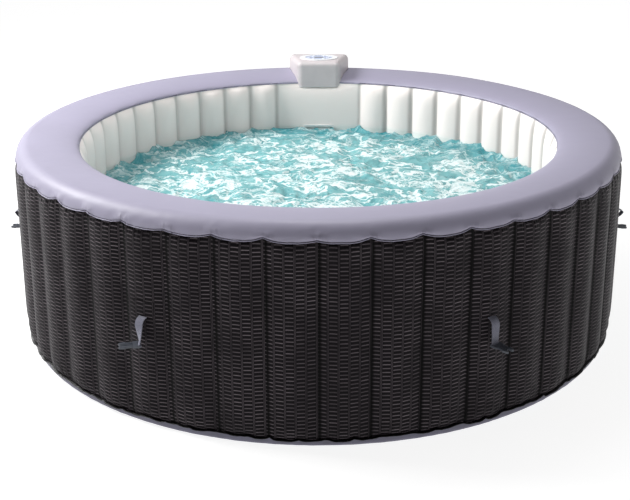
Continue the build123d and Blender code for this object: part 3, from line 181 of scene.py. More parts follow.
def math_node(tree, operation, first, second=0.0, third=None):
    inputs = {0: first, 1: second}
    if third is not None:
        inputs[2] = third
    return add(tree, "ShaderNodeMath", inputs, operation=operation).outputs[0]


def blend_colours(tree, amount, low, high, mode="MIX"):
    node = add(tree, "ShaderNodeMix", {0: amount, 6: low, 7: high}, data_type="RGBA", blend_type=mode)
    return node.outputs[2]


def noise_of(tree, place, size, detail=3.0, rough=0.5):
    """Noise whose lumps are about `size` metres across."""
    return add(tree, "ShaderNodeTexNoise", {"Vector": place, "Scale": 1 / size, "Detail": detail,
                                            "Roughness": rough}).outputs["Fac"]


def ramp(tree, value, low, high, out_low=0.0, out_high=1.0, smooth=True):
    return add(tree, "ShaderNodeMapRange", {0: value, 1: low, 2: high, 3: out_low, 4: out_high},
               interpolation_type="SMOOTHSTEP" if smooth else "LINEAR").outputs[0]


def bump(tree, height, depth, normal=None, strength=1.0):
    inputs = {"Height": height, "Distance": depth, "Strength": strength}
    if normal is not None:
        inputs["Normal"] = normal
    return add(tree, "ShaderNodeBump", inputs).outputs[0]


def round_the_tub(tree, place):
    """(distance along the wall, height) of a point, in metres, for patterns wrapped round the tub."""
    split = add(tree, "ShaderNodeSeparateXYZ", {0: place})
    back = math_node(tree, "MULTIPLY", split.outputs[1], -1.0)
    angle = math_node(tree, "ARCTAN2", split.outputs[0], back)
    return math_node(tree, "MULTIPLY", angle, OUTER_RADIUS), split.outputs[2]


def weld_shade(tree, along, width):
    """1 on the flutes and 0 in the weld lines between them, `width` metres to either side."""
    turn = math_node(tree, "DIVIDE", along, OUTER_RADIUS * PITCH)
    turn = math_node(tree, "SUBTRACT", turn, PANEL_EDGE / PITCH)
    off = math_node(tree, "PINGPONG", turn, 0.5)
    flute = ramp(tree, off, 0.0, width / (OUTER_RADIUS * PITCH))
    panel_start = OUTER_RADIUS * (math.pi - PANEL_ANGLE / 2)
    panel = ramp(tree, math_node(tree, "ABSOLUTE", along), panel_start + 2 * MM, panel_start + width)
    return math_node(tree, "MAXIMUM", flute, panel)


# ---------------------------------------------------------------- materials
def rattan_print(name="rattan_printed_pvc"):
    """Calendered PVC printed with woven cane: satin, dark, with a fine emboss."""
    colours, sizes = settings()
    mat, tree, shader, place = new_material(name)
    along, up = round_the_tub(tree, place)
    circumference = math.tau * OUTER_RADIUS
    column_width = circumference / round(circumference / (sizes.cane_length + 7 * MM))
    column = math_node(tree, "DIVIDE", along, column_width)
    column_no = math_node(tree, "FLOOR", column)
    centred = math_node(tree, "ABSOLUTE", math_node(tree, "SUBTRACT", math_node(tree, "FRACT", column), 0.5))
    odd = math_node(tree, "MODULO", math_node(tree, "ABSOLUTE", column_no), 2.0)
    arch = math_node(tree, "MULTIPLY", math_node(tree, "MULTIPLY", centred, centred), 0.25)
    row = math_node(tree, "ADD", math_node(tree, "DIVIDE", up, sizes.cane_pitch), arch)
    row = math_node(tree, "ADD", row, math_node(tree, "MULTIPLY", odd, 0.5))
    row_no = math_node(tree, "FLOOR", row)
    row_at = math_node(tree, "ABSOLUTE", math_node(tree, "SUBTRACT", math_node(tree, "FRACT", row), 0.5))
    half_dash = sizes.cane_length / column_width / 2
    span = ramp(tree, centred, half_dash + 0.02, half_dash - 0.04)
    glint = math_node(tree, "MULTIPLY", ramp(tree, row_at, 0.115, 0.03), span)
    cane = math_node(tree, "MULTIPLY", ramp(tree, row_at, 0.46, 0.30), span)
    stake = math_node(tree, "MULTIPLY", ramp(tree, centred, 0.415, 0.43), ramp(tree, centred, 0.475, 0.455))
    cell = add(tree, "ShaderNodeCombineXYZ", {0: column_no, 1: row_no})
    shade = add(tree, "ShaderNodeTexWhiteNoise", {"Vector": cell.outputs[0]}).outputs["Value"]
    level = ramp(tree, shade, 0.0, 1.0, 0.5, 1.0, False)
    wear = ramp(tree, noise_of(tree, place, 120 * MM, 4.0), 0.3, 0.7, 0.5, 1.0)
    level = math_node(tree, "MULTIPLY", level, wear)
    amount = math_node(tree, "MAXIMUM", math_node(tree, "MULTIPLY", glint, level),
                       math_node(tree, "MULTIPLY", stake, math_node(tree, "MULTIPLY", wear, 0.38)))
    amount = math_node(tree, "MAXIMUM", amount, math_node(tree, "MULTIPLY", cane, 0.05))
    ground = (*colours.wall_ground, 1.0)
    light = (*colours.wall_cane, 1.0)
    weave = blend_colours(tree, amount, ground, light)
    # the weld valleys between the flutes are darkened towards near black: the pressed weld line itself, with painted
    # shade to either side of it
    weld_line_and_shade = weld_shade(tree, along, 9 * MM)
    weave = blend_colours(tree, math_node(tree, "ADD", 0.05, math_node(tree, "MULTIPLY", weld_line_and_shade, 0.95)),
                          linear("#030303"), weave)
    tree.links.new(weave, shader.inputs["Base Color"])
    relief = math_node(tree, "ADD", glint, math_node(tree, "MULTIPLY", noise_of(tree, place, 3 * MM), 0.2))
    emboss = bump(tree, relief, 0.4 * MM, strength=0.3)
    thin = add(tree, "ShaderNodeCombineXYZ", {0: math_node(tree, "MULTIPLY", along, 1 / (17 * MM)),
                                              1: math_node(tree, "MULTIPLY", up, 1 / (70 * MM))}).outputs[0]
    gathers = add(tree, "ShaderNodeTexNoise", {"Vector": thin, "Scale": 1.0, "Detail": 2.0}).outputs["Fac"]
    near_seam = ramp(tree, up, OUTER_SEAM - 55 * MM, OUTER_SEAM - 5 * MM)
    near_foot = ramp(tree, up, WELD_HIGH.z + 60 * MM, WELD_HIGH.z + 5 * MM)
    pulled = math_node(tree, "MULTIPLY", gathers, math_node(tree, "MAXIMUM", near_seam, near_foot))
    creased = bump(tree, pulled, 12 * MM, emboss, 0.8)
    sag = bump(tree, noise_of(tree, place, 70 * MM, 2.0), 8 * MM, creased, 0.4)
    tree.links.new(sag, shader.inputs["Normal"])
    tree.links.new(ramp(tree, amount, 0.0, 1.0, 0.46, 0.36, False), shader.inputs["Roughness"])
    shader.inputs["Specular IOR Level"].default_value = 0.05
    return mat


def ring_pvc():
    """Plain calendered PVC, inflated hard: a soft satin sheen, faint creases and a fine emboss."""
    colours, _ = settings()
    mat, tree, shader, place = new_material("plain_pvc_ring")
    mottle = noise_of(tree, place, 220 * MM, 3.0)
    base = (*colours.ring, 1.0)
    dusty = tuple(c * 0.93 for c in colours.ring) + (1.0,)
    tree.links.new(blend_colours(tree, mottle, dusty, base), shader.inputs["Base Color"])
    grain = noise_of(tree, place, 2.2 * MM, 2.0)
    fine = bump(tree, grain, 0.15 * MM, strength=0.25)
    soft = bump(tree, noise_of(tree, place, 90 * MM, 2.0), 6 * MM, fine, 0.30)
    along, up = round_the_tub(tree, place)
    near_weld = math_node(tree, "SUBTRACT", 1.0, weld_shade(tree, along, 42 * MM))
    near_seam = ramp(tree, up, OUTER_SEAM + 34 * MM, OUTER_SEAM + 2 * MM)
    thin = add(tree, "ShaderNodeCombineXYZ", {0: math_node(tree, "MULTIPLY", along, 1 / (13 * MM)),
                                              1: math_node(tree, "MULTIPLY", up, 1 / (45 * MM))}).outputs[0]
    folds = add(tree, "ShaderNodeTexNoise", {"Vector": thin, "Scale": 1.0, "Detail": 3.0}).outputs["Fac"]
    folds = math_node(tree, "MULTIPLY", folds, math_node(tree, "MULTIPLY", near_weld, near_seam))
    tree.links.new(bump(tree, folds, 16 * MM, soft, 0.9), shader.inputs["Normal"])
    tree.links.new(ramp(tree, mottle, 0.3, 0.7, 0.46, 0.56), shader.inputs["Roughness"])
    shader.inputs["Specular IOR Level"].default_value = 0.45
    return mat


def liner_pvc():
    """White laminated PVC: matt-satin, faintly translucent, wet and brighter near the water."""
    colours, sizes = settings()
    mat, tree, shader, place = new_material("white_pvc_liner")
    split = add(tree, "ShaderNodeSeparateXYZ", {0: place})
    wet = ramp(tree, split.outputs[2], sizes.water_depth + 35 * MM, sizes.water_depth + 5 * MM)
    base = (*colours.liner, 1.0)
    tinted = (colours.liner[0] * 0.86, colours.liner[1] * 0.96, colours.liner[2] * 0.96, 1.0)
    along, _ = round_the_tub(tree, place)
    shaded = tuple(c * 0.60 for c in colours.liner) + (1.0,)
    skin = blend_colours(tree, wet, base, tinted)
    tree.links.new(blend_colours(tree, weld_shade(tree, along, 20 * MM), shaded, skin), shader.inputs["Base Color"])
    fine = bump(tree, noise_of(tree, place, 2.0 * MM), 0.12 * MM, strength=0.2)
    tree.links.new(bump(tree, noise_of(tree, place, 60 * MM, 2.0), 4 * MM, fine, 0.3), shader.inputs["Normal"])
    tree.links.new(math_node(tree, "SUBTRACT", 0.40, math_node(tree, "MULTIPLY", wet, 0.22)),
                   shader.inputs["Roughness"])
    shader.inputs["Subsurface Weight"].default_value = 0.06
    shader.inputs["Subsurface Radius"].default_value = (0.02, 0.02, 0.02)
    shader.inputs["Subsurface Scale"].default_value = 0.4
    return mat


def weld_pvc():
    """Black PVC pressed flat by the welding bar: a close ribbed press mark, slightly glossy."""
    mat, tree, shader, place = new_material("black_pvc_weld")
    shader.inputs["Base Color"].default_value = linear("#0C0B0C")
    along, _ = round_the_tub(tree, place)
    press = math_node(tree, "SINE", math_node(tree, "MULTIPLY", along, math.tau / (4 * MM)))
    tree.links.new(bump(tree, press, 0.3 * MM, strength=0.5), shader.inputs["Normal"])
    shader.inputs["Roughness"].default_value = 0.34
    return mat


def base_pvc():
    """Grey-lavender ground sheet, slightly scuffed: matt PVC."""
    mat, tree, shader, place = new_material("grey_pvc_ground_sheet")
    scuff = noise_of(tree, place, 40 * MM, 5.0, 0.6)
    tree.links.new(blend_colours(tree, scuff, linear("#55535F"), linear("#757389")),
                   shader.inputs["Base Color"])
    tree.links.new(bump(tree, scuff, 1.0 * MM, strength=0.4), shader.inputs["Normal"])
    tree.links.new(ramp(tree, scuff, 0.3, 0.7, 0.42, 0.55), shader.inputs["Roughness"])
    return mat


def webbing():
    """Polypropylene webbing: twill of slightly shiny yarn, drawn at 2.4 mm, its real pick, seen close."""
    mat, tree, shader, place = new_material("polypropylene_webbing")
    pick = math.tau / (2.4 * MM)
    split = add(tree, "ShaderNodeSeparateXYZ", {0: place})
    across = math_node(tree, "ADD", split.outputs[0], split.outputs[1])
    slope = math_node(tree, "ADD", across, split.outputs[2])
    other = math_node(tree, "SUBTRACT", across, split.outputs[2])
    weave = math_node(tree, "MULTIPLY", math_node(tree, "SINE", math_node(tree, "MULTIPLY", slope, pick)),
                      math_node(tree, "SINE", math_node(tree, "MULTIPLY", other, pick)))
    amount = ramp(tree, weave, -0.8, 0.8)
    tree.links.new(blend_colours(tree, amount, linear("#5A5B69"), linear("#8C8CA0")), shader.inputs["Base Color"])
    tree.links.new(bump(tree, weave, 0.4 * MM, strength=0.8), shader.inputs["Normal"])
    shader.inputs["Roughness"].default_value = 0.62
    shader.inputs["Sheen Weight"].default_value = 0.25
    return mat


def moulded(name, base, grain, roughness, depth=0.06):
    """Injection-moulded plastic with a spark-eroded texture of the given grain."""
    mat, tree, shader, place = new_material(name)
    cloud = noise_of(tree, place, 50 * MM, 3.0)
    tree.links.new(blend_colours(tree, ramp(tree, cloud, 0.3, 0.7), tuple(c * 0.94 for c in base[:3]) + (1.0,),
                                 base), shader.inputs["Base Color"])
    texture = noise_of(tree, place, grain, 3.0, 0.6)
    tree.links.new(bump(tree, texture, depth * MM, strength=0.5), shader.inputs["Normal"])
    tree.links.new(ramp(tree, cloud, 0.3, 0.7, roughness - 0.03, roughness + 0.04), shader.inputs["Roughness"])
    return mat


def nylon_buckle():
    """Glass-filled nylon, moulded in slate grey: dull, with a fine grain that catches edge light."""
    return moulded("nylon_buckle", linear("#4A4E57"), 1.2 * MM, 0.42)


def head_abs():
    """Light grey ABS with a fine spark-eroded grain: soft, even highlights."""
    colours, _ = settings()
    return moulded("grained_abs_head", (*colours.head, 1.0), 1.6 * MM, 0.40, 0.05)


def bezel_abs():
    """White polished ABS: a clear highlight along the rim."""
    return moulded("polished_abs_bezel", linear("#EEF0F2"), 6 * MM, 0.18, 0.02)


def pad_film():
    """Screen-printed polyester film over the keypad: satin, pale blue-grey."""
    return moulded("polyester_keypad_film", linear("#AEB9D4"), 1.0 * MM, 0.30, 0.02)


def silicone_key():
    """Moulded silicone key tops: soft, pale, with a faint sheen."""
    mat = moulded("silicone_key", linear("#DDE1EC"), 1.0 * MM, 0.5, 0.02)
    mat.node_tree.nodes["Principled BSDF"].inputs["Sheen Weight"].default_value = 0.15
    return mat


def display_lens():
    """Smoked acrylic over the display: dark and glossy."""
    mat, tree, shader, place = new_material("smoked_acrylic_lens")
    shader.inputs["Base Color"].default_value = linear("#10141C")
    dust = noise_of(tree, place, 4 * MM)
    tree.links.new(ramp(tree, dust, 0.3, 0.7, 0.05, 0.1), shader.inputs["Roughness"])
    shader.inputs["IOR"].default_value = 1.49
    return mat


def nitrile():
    """Black nitrile rubber: matt, slightly dusty."""
    return moulded("nitrile_rubber", linear("#131313"), 1.5 * MM, 0.72)


def pack_abs():
    """Dark grey textured ABS of the pump pack."""
    return moulded("textured_abs_pack", linear("#3A3A3F"), 1.8 * MM, 0.5, 0.08)


def fitting_abs():
    """White moulded ABS of the pool fittings: smooth and slightly glossy."""
    return moulded("moulded_abs_fitting", linear("#E9EBEA"), 3 * MM, 0.30, 0.03)


def black_nylon():
    """Black moulded nylon of caps and gland."""
    return moulded("moulded_nylon_black", linear("#1B1B1E"), 1.4 * MM, 0.45)


def stainless():
    """Drawn 304 stainless steel: fine straight grain, satin."""
    mat, tree, shader, place = new_material("drawn_stainless")
    shader.inputs["Base Color"].default_value = linear("#C3C4C4")
    shader.inputs["Metallic"].default_value = 1.0
    grain = noise_of(tree, add(tree, "ShaderNodeMapping", {0: place, 3: (1, 40, 40)}).outputs[0], 20 * MM)
    tree.links.new(ramp(tree, grain, 0.3, 0.7, 0.24, 0.42), shader.inputs["Roughness"])
    return mat


def cast_aluminium():
    """Die-cast aluminium motor cans: grey, with a soft cast skin."""
    mat, tree, shader, place = new_material("die_cast_aluminium")
    shader.inputs["Base Color"].default_value = linear("#A9ABAE")
    shader.inputs["Metallic"].default_value = 1.0
    skin = noise_of(tree, place, 2 * MM)
    tree.links.new(bump(tree, skin, 0.2 * MM, strength=0.4), shader.inputs["Normal"])
    tree.links.new(ramp(tree, skin, 0.3, 0.7, 0.38, 0.5), shader.inputs["Roughness"])
    return mat


def board_laminate():
    """Glass-epoxy board with green solder mask: faint weave under a gloss coat."""
    return moulded("solder_masked_laminate", linear("#0F5A32"), 1.2 * MM, 0.28)


def filter_paper():
    """Pleated polyester filter fleece: bright and fibrous."""
    mat, tree, shader, place = new_material("polyester_filter_fleece")
    fibre = noise_of(tree, place, 1.5 * MM, 5.0, 0.7)
    tree.links.new(blend_colours(tree, fibre, linear("#D9DEE6"), linear("#F4F6F8")), shader.inputs["Base Color"])
    tree.links.new(bump(tree, fibre, 0.3 * MM), shader.inputs["Normal"])
    shader.inputs["Roughness"].default_value = 0.85
    return mat


def bubbling_water():
    """Aerated pool water: pale turquoise, glossy, and white with froth where the bubbles break; painted shade darkens
    it in the wave troughs, in blotches and along the wall.
    """
    colours, sizes = settings()
    mat, tree, shader, place = new_material("aerated_pool_water")
    height = add(tree, "ShaderNodeSeparateXYZ", {0: place}).outputs[2]
    rise = math_node(tree, "SUBTRACT", height, sizes.water_depth)
    crest = ramp(tree, rise, 0.1 * sizes.wave_height, 1.1 * sizes.wave_height)
    trough = ramp(tree, rise, 0.0, -0.9 * sizes.wave_height)
    radius = add(tree, "ShaderNodeVectorMath", {0: add(tree, "ShaderNodeMapping", {0: place, 3: (1, 1, 0)}).outputs[0]},
                 operation="LENGTH").outputs["Value"]
    near_wall = ramp(tree, radius, WELL_RADIUS - 230 * MM, WELL_RADIUS - 60 * MM)
    warp = add(tree, "ShaderNodeTexNoise", {"Vector": place, "Scale": 1 / (130 * MM), "Detail": 4.0})
    bent = add(tree, "ShaderNodeVectorMath", {0: warp.outputs["Color"], 1: (0.16, 0.16, 0.0)},
               operation="MULTIPLY").outputs[0]
    moved = add(tree, "ShaderNodeVectorMath", {0: place, 1: bent}, operation="ADD").outputs[0]
    flat = add(tree, "ShaderNodeMapping", {0: moved, 3: (0.62, 1.0, 0.0)}).outputs[0]

    def ridge(size, width, rough):
        off = math_node(tree, "SUBTRACT", noise_of(tree, flat, size, 6.0, rough), 0.5)
        return ramp(tree, math_node(tree, "ABSOLUTE", off), width, 0.0)

    bold, thin = ridge(125 * MM, 0.042, 0.60), ridge(46 * MM, 0.055, 0.64)
    fleck = ramp(tree, noise_of(tree, flat, 9 * MM, 5.0, 0.7), 0.50, 0.70)
    patches = ramp(tree, noise_of(tree, flat, 240 * MM, 4.0), 0.36, 0.62)
    thin = math_node(tree, "MULTIPLY", thin, math_node(tree, "ADD", math_node(tree, "MULTIPLY", patches, 0.65), 0.2))
    fleck = math_node(tree, "MULTIPLY", fleck, math_node(tree, "ADD", math_node(tree, "MULTIPLY", patches, 0.5), 0.15))
    foam = math_node(tree, "MAXIMUM", bold, math_node(tree, "MAXIMUM", thin, fleck))
    foam = math_node(tree, "ADD", foam, math_node(tree, "MULTIPLY", crest, 0.35))
    foam = math_node(tree, "MULTIPLY", foam, ramp(tree, near_wall, 0.0, 1.0, 1.0, 0.45, False))
    foam = ramp(tree, foam, 0.10, 0.95)
    # painted shade: the water is blended towards a dark teal in the wave troughs, in blotches and along the wall
    water_in_shade = tuple(c * f for c, f in zip(colours.water, (0.14, 0.52, 0.58))) + (1.0,)
    blots = ramp(tree, noise_of(tree, flat, 38 * MM, 6.0, 0.65), 0.46, 0.66)
    depth = math_node(tree, "MAXIMUM", math_node(tree, "MULTIPLY", trough, 0.55), math_node(tree, "MULTIPLY", blots, 0.55))
    depth = math_node(tree, "ADD", depth, math_node(tree, "MULTIPLY", near_wall, 0.6))
    body = blend_colours(tree, math_node(tree, "MINIMUM", depth, 1.0), (*colours.water, 1.0), water_in_shade)
    tree.links.new(blend_colours(tree, foam, body, linear("#DCE9E9")), shader.inputs["Base Color"])
    ripple = noise_of(tree, flat, 22 * MM, 6.0, 0.62)
    tree.links.new(bump(tree, ripple, 12 * MM, strength=0.7), shader.inputs["Normal"])
    tree.links.new(ramp(tree, foam, 0.1, 0.9, 0.08, 0.5), shader.inputs["Roughness"])
    shader.inputs["IOR"].default_value = 1.333
    return mat


def studio_floor():
    """Matt white studio sheet."""
    mat, tree, shader, place = new_material("studio_sheet")
    speck = noise_of(tree, place, 400 * MM, 2.0)
    tree.links.new(blend_colours(tree, speck, linear("#9C9C9C"), linear("#A2A2A2")), shader.inputs["Base Color"])
    shader.inputs["Roughness"].default_value = 0.9
    shader.inputs["Emission Color"].default_value = (1.0, 1.0, 1.0, 1.0)
    shader.inputs["Emission Strength"].default_value = 0.86
    return mat


MAKERS = {
    "rattan_pvc": rattan_print, "ring_pvc": ring_pvc, "liner_pvc": liner_pvc, "base_pvc": base_pvc,
    "weld_pvc": weld_pvc, "webbing": webbing, "buckle_plastic": nylon_buckle, "head_abs": head_abs,
    "bezel_abs": bezel_abs, "pad_film": pad_film, "display_lens": display_lens,
    "button_silicone": silicone_key, "circuit_board": board_laminate, "seal_rubber": nitrile,
    "pack_abs": pack_abs, "pump_plastic": black_nylon, "motor_can": cast_aluminium, "stainless": stainless,
    "fitting_abs": fitting_abs, "filter_paper": filter_paper, "water": bubbling_water,
}
_made = {}


def finish_of(slot):
    """The material for one of the record's slots, made once."""
    if slot not in _made:
        _made[slot] = MAKERS[slot]()
    return _made[slot]


# ---------------------------------------------------------------- mesh helpers
def put(name, verts, faces, slot, body="tub", smooth=True, replaces=()):
    """A mesh piece on a body, with its slot's finish."""
    mesh = bpy.data.meshes.new(name)
    mesh.from_pydata([tuple(v) for v in verts], [], faces)
    mesh.validate()
    bm = bmesh.new()
    bm.from_mesh(mesh)
    bmesh.ops.remove_doubles(bm, verts=bm.verts, dist=1e-6)
    bmesh.ops.recalc_face_normals(bm, faces=bm.faces)
    bm.to_mesh(mesh)
    bm.free()
    mesh.polygons.foreach_set("use_smooth", [smooth] * len(mesh.polygons))
    piece = bpy.data.objects.new(name, mesh)
    bpy.context.scene.collection.objects.link(piece)
    mesh.materials.append(finish_of(slot))
    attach(piece, body)
    if replaces:
        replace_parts(piece, *replaces)
    return piece


def sheet_faces(columns, rows, closed=True):
    """Quads of a grid whose columns go round the tub."""
    faces = []
    for i in range(columns if closed else columns - 1):
        j = (i + 1) % columns
        faces += [(i * rows + k, j * rows + k, j * rows + k + 1, i * rows + k + 1) for k in range(rows - 1)]
    return faces


def wall_point(radius, angle, z):
    """A point at a radius and an angle from the front towards +X."""
    return Vector((radius * math.sin(angle), -radius * math.cos(angle), z))


def panel_radius(radius, angle):
    """Distance to the flat rear panel at an angle, or None away from it."""
    off = math.atan2(math.sin(angle - math.pi), math.cos(angle - math.pi))
    if abs(off) < PANEL_ANGLE / 2:
        return radius * math.cos(PANEL_ANGLE / 2) / math.cos(off)
    return None


def flute_phase(angle):
    """0 at a flute's weld line and 1 on its crest."""
    turn = (angle - PANEL_EDGE) % math.tau
    if turn > FLUTES * PITCH:
        return 0.0
    return abs(math.sin(math.pi * (turn % PITCH) / PITCH))


def flute_number(angle):
    return int(((angle - PANEL_EDGE) % math.tau) / PITCH)


SEAM_RISE = [random.Random(seed).uniform(0.45, 1.5) for seed in range(FLUTES + 1)]


def seam_wave(angle):
    """How far the outer seam is pulled up at an angle: a notch at every weld line, and small gathers."""
    turn = (angle - PANEL_EDGE) % math.tau / PITCH
    if turn > FLUTES:
        return 0.0
    nearest = min(int(turn + 0.5), FLUTES)
    notch = 7.5 * MM * SEAM_RISE[nearest] * (1 - flute_phase(angle)) ** 1.8
    gather = 1.3 * MM * noise.noise(Vector((angle * 70, 4.0, 1.0))) + 0.8 * MM * noise.noise(Vector((angle * 25, 9, 2)))
    return notch + gather


def foot_wave(angle):
    """How far the weld at the foot of the wall rises and dips at an angle, gathered into uneven cusps."""
    if panel_radius(1.0, angle) is not None:
        return 0.0
    cusp = max(1 - 3.5 * abs(noise.noise(Vector((angle * 13, 2.0, 6.0)))), 0.0) ** 2
    return 7 * MM * cusp - 3.5 * MM + 1.5 * MM * noise.noise(Vector((angle * 55, 5.0, 1.0)))


def angles_round(steps):
    """Angles round the tub, a whole number of steps to each flute and to the panel."""
    found = []
    for flute in range(FLUTES):
        start = PANEL_EDGE + flute * PITCH
        found += [start + PITCH * k / steps for k in range(steps)]
    count = 3 * steps
    found += [math.pi - PANEL_ANGLE / 2 + PANEL_ANGLE * k / count + math.tau for k in range(count)]
    return found


# ---------------------------------------------------------------- pieces
def make_outer_wall():
    """Fluted wall: every flute bulges by itself, pulled in at its foot and head, with small puckers."""
    angles, rows = angles_round(18), 60
    rng = random.Random(5)
    lean = [rng.uniform(-1, 1) for _ in range(FLUTES + 1)]
    weld_radius = OUTER_RADIUS - FLUTE_DEPTH
    verts = []
    for angle in angles:
        phase, flat, number = flute_phase(angle), panel_radius(weld_radius, angle), flute_number(angle)
        low, high = WELD_HIGH.z - 1 * MM + foot_wave(angle), OUTER_SEAM + seam_wave(angle)
        for k in range(rows):
            t = k / (rows - 1)
            z = low + (high - low) * t
            foot = math.exp(-(z - low) / (16 * MM))
            head = math.exp(-(high - z) / (13 * MM))
            if flat is not None:
                radius = flat - 0.6 * MM * foot
            else:
                bulge = FLUTE_DEPTH * phase ** 0.9 * (1 - 0.92 * head) * (1 - 0.85 * foot)
                radius = weld_radius + bulge - 3 * MM * foot - 1.0 * MM * head
                radius += 0.6 * MM * lean[min(number, FLUTES)] * math.sin(math.pi * t)
                crease = noise.noise(Vector((angle * 46, z * 26, number * 3.1)))
                near_end = math.exp(-(high - z) / (45 * MM)) + 0.8 * math.exp(-(z - low) / (55 * MM))
                radius += 1.7 * MM * crease * near_end * phase
            radius = min(radius, OUTER_RADIUS + 1.5 * MM)
            verts.append(wall_point(min(radius, seat_radius(angle, z)), angle, z))
    return put("outer_wall_skin", verts, sheet_faces(len(angles), rows), "rattan_pvc")


def seat_radius(angle, z):
    """How far out the wall may reach at a point: it is pulled in under the flanges of the two valves."""
    here = wall_point(OUTER_RADIUS, angle, z)
    near = min(math.hypot((here - valve).xy.length, here.z - valve.z) for valve in VALVES)
    free = min(max((near - 30 * MM) / (30 * MM), 0.0), 1.0)
    return OUTER_RADIUS - 2.5 * MM + 4 * MM * free


def ring_profile(steps):
    """(radius, height) from the outer seam over the crown to the inner seam."""
    points = []
    outer_rise, inner_rise = CROWN - OUTER_SEAM - 4 * MM, CROWN - INNER_SEAM - 4 * MM
    for k in range(steps + 1):
        a = math.pi / 2 * k / steps
        points.append((CROWN_RADIUS + (SEAM_RADIUS - CROWN_RADIUS) * math.cos(a),
                       CROWN - outer_rise * (1 - math.sin(a))))
    for k in range(1, steps + 1):
        a = math.pi / 2 * k / steps
        points.append((CROWN_RADIUS - (CROWN_RADIUS - WELL_RADIUS) * math.sin(a),
                       CROWN - inner_rise * (1 - math.cos(a))))
    return points


def make_top_ring():
    """Crowned ring skin, gathered into a scallop at every flute along both seams."""
    angles, steps = angles_round(20), 20
    profile = ring_profile(steps)
    verts = []
    for angle in angles:
        phase, flat = flute_phase(angle), panel_radius(1.0, angle)
        for k, (radius, z) in enumerate(profile):
            t = k / (len(profile) - 1)
            outer = math.exp(-t / 0.055)
            inner = math.exp(-(1 - t) / 0.05)
            pull = 0.0 if flat is not None else 1 - phase
            radius -= outer * 7.0 * MM * pull
            z += outer * seam_wave(angle) + inner * 1.5 * MM * pull
            pucker = noise.noise(Vector((angle * 60, t * 7, 0.3))) + 0.5 * noise.noise(Vector((angle * 140, t * 5, 2)))
            gathered = 3.4 * MM * pucker * (0.35 + 0.65 * pull) * math.exp(-t / 0.13) * (1 - outer)
            z += gathered
            radius += 0.8 * gathered
            swell = noise.noise(Vector((math.sin(angle) * 2.2, math.cos(angle) * 2.2, t)))
            z += 1.6 * MM * swell * math.sin(math.pi * t)
            verts.append(wall_point(radius, angle, min(z, CROWN + 2 * MM)))
    return put("top_ring_skin", verts, sheet_faces(len(angles), len(profile)), "ring_pvc")


def make_liner():
    """Inner wall: each flute is a soft pillow with a rounded top, and the wide panel stays flat."""
    angles, rows = angles_round(16), 54
    low, high = FLOOR_HIGH.z, INNER_SEAM + 1 * MM
    rng = random.Random(11)
    fullness = [rng.uniform(0.85, 1.12) for _ in range(FLUTES + 1)]
    verts = []
    for angle in angles:
        phase, flat, number = flute_phase(angle), panel_radius(WELL_RADIUS, angle), flute_number(angle)
        for k in range(rows):
            z = low + (high - low) * k / (rows - 1)
            head = math.exp(-(high - z) / (20 * MM))
            if flat is not None:
                radius = flat + (WELL_RADIUS - flat) * head
            else:
                bulge = LINER_DEPTH * phase ** 0.7 * (1 - head) * fullness[min(number, FLUTES)]
                radius = WELL_RADIUS - bulge
                fold = noise.noise(Vector((angle * 40, z * 22, 7.7)))
                radius += 1.5 * MM * fold * math.exp(-(high - z) / (70 * MM)) * phase
            verts.append(wall_point(radius, angle, z))
    return put("inner_wall_skin", verts, sheet_faces(len(angles), rows), "liner_pvc")


def make_seam_cord(name, radius, z, thickness, drop, slot):
    """A thin welded lip that follows the scallops of a seam."""
    angles, sides = angles_round(20), 8
    verts = []
    for angle in angles:
        phase, flat = flute_phase(angle), panel_radius(1.0, angle)
        pull = 0.0 if flat is not None else 1 - phase
        here = radius - drop * pull
        rise = seam_wave(angle) if drop else 0.0
        for k in range(sides + 1):
            a = math.tau * k / sides
            verts.append(wall_point(here + thickness * math.cos(a), angle,
                                    z + rise + 0.7 * thickness * math.sin(a)))
    return put(name, verts, sheet_faces(len(angles), sides + 1), slot)


def make_bottom_flange():
    """Black weld flange that waves in and out with the flutes at the foot of the wall."""
    angles = angles_round(14)
    verts = []
    inner = OUTER_RADIUS - FLUTE_DEPTH - 12 * MM
    for angle in angles:
        phase, flat = flute_phase(angle), panel_radius(OUTER_RADIUS - FLUTE_DEPTH, angle)
        edge = flat + 2 * MM if flat is not None else OUTER_RADIUS - 9 * MM + 5 * MM * phase
        z = (WELD_LOW.z + WELD_HIGH.z) / 2 + foot_wave(angle)
        near = min(inner, edge - 6 * MM)
        for radius, dz in ((near, -0.9), (edge - 1 * MM, -0.9), (edge, 0.0), (edge - 1 * MM, 0.9), (near, 0.9)):
            verts.append(wall_point(radius, angle, z + dz * MM))
    return put("bottom_weld_flange", verts, sheet_faces(len(angles), 5), "weld_pvc")


def water_height(x, y, scale):
    """Chop of a bubbling bath: crossed swells, pulled up into small peaks."""
    here = Vector((x, y, 0.0))
    swirl = noise.noise_vector(here * 4.1) * 0.06
    here = here + Vector((swirl.x, swirl.y, 0.0))
    long_swell = noise.noise(here * 5.3)
    chop = 1.0 - 2.0 * abs(noise.noise(here * 11.0 + Vector((3, 1, 0))))
    fine = 1.0 - 2.0 * abs(noise.noise(here * 24.0 + Vector((9, 5, 0))))
    drops = noise.noise(here * 58.0)
    slosh = math.exp(-(WELL_RADIUS - math.hypot(x, y)) / (90 * MM))
    chopped = 0.55 * long_swell + 0.42 * (chop - 0.4) + 0.26 * (fine - 0.4) + 0.09 * drops
    return scale * (chopped * (1 + 0.9 * slosh) + 0.5 * slosh)


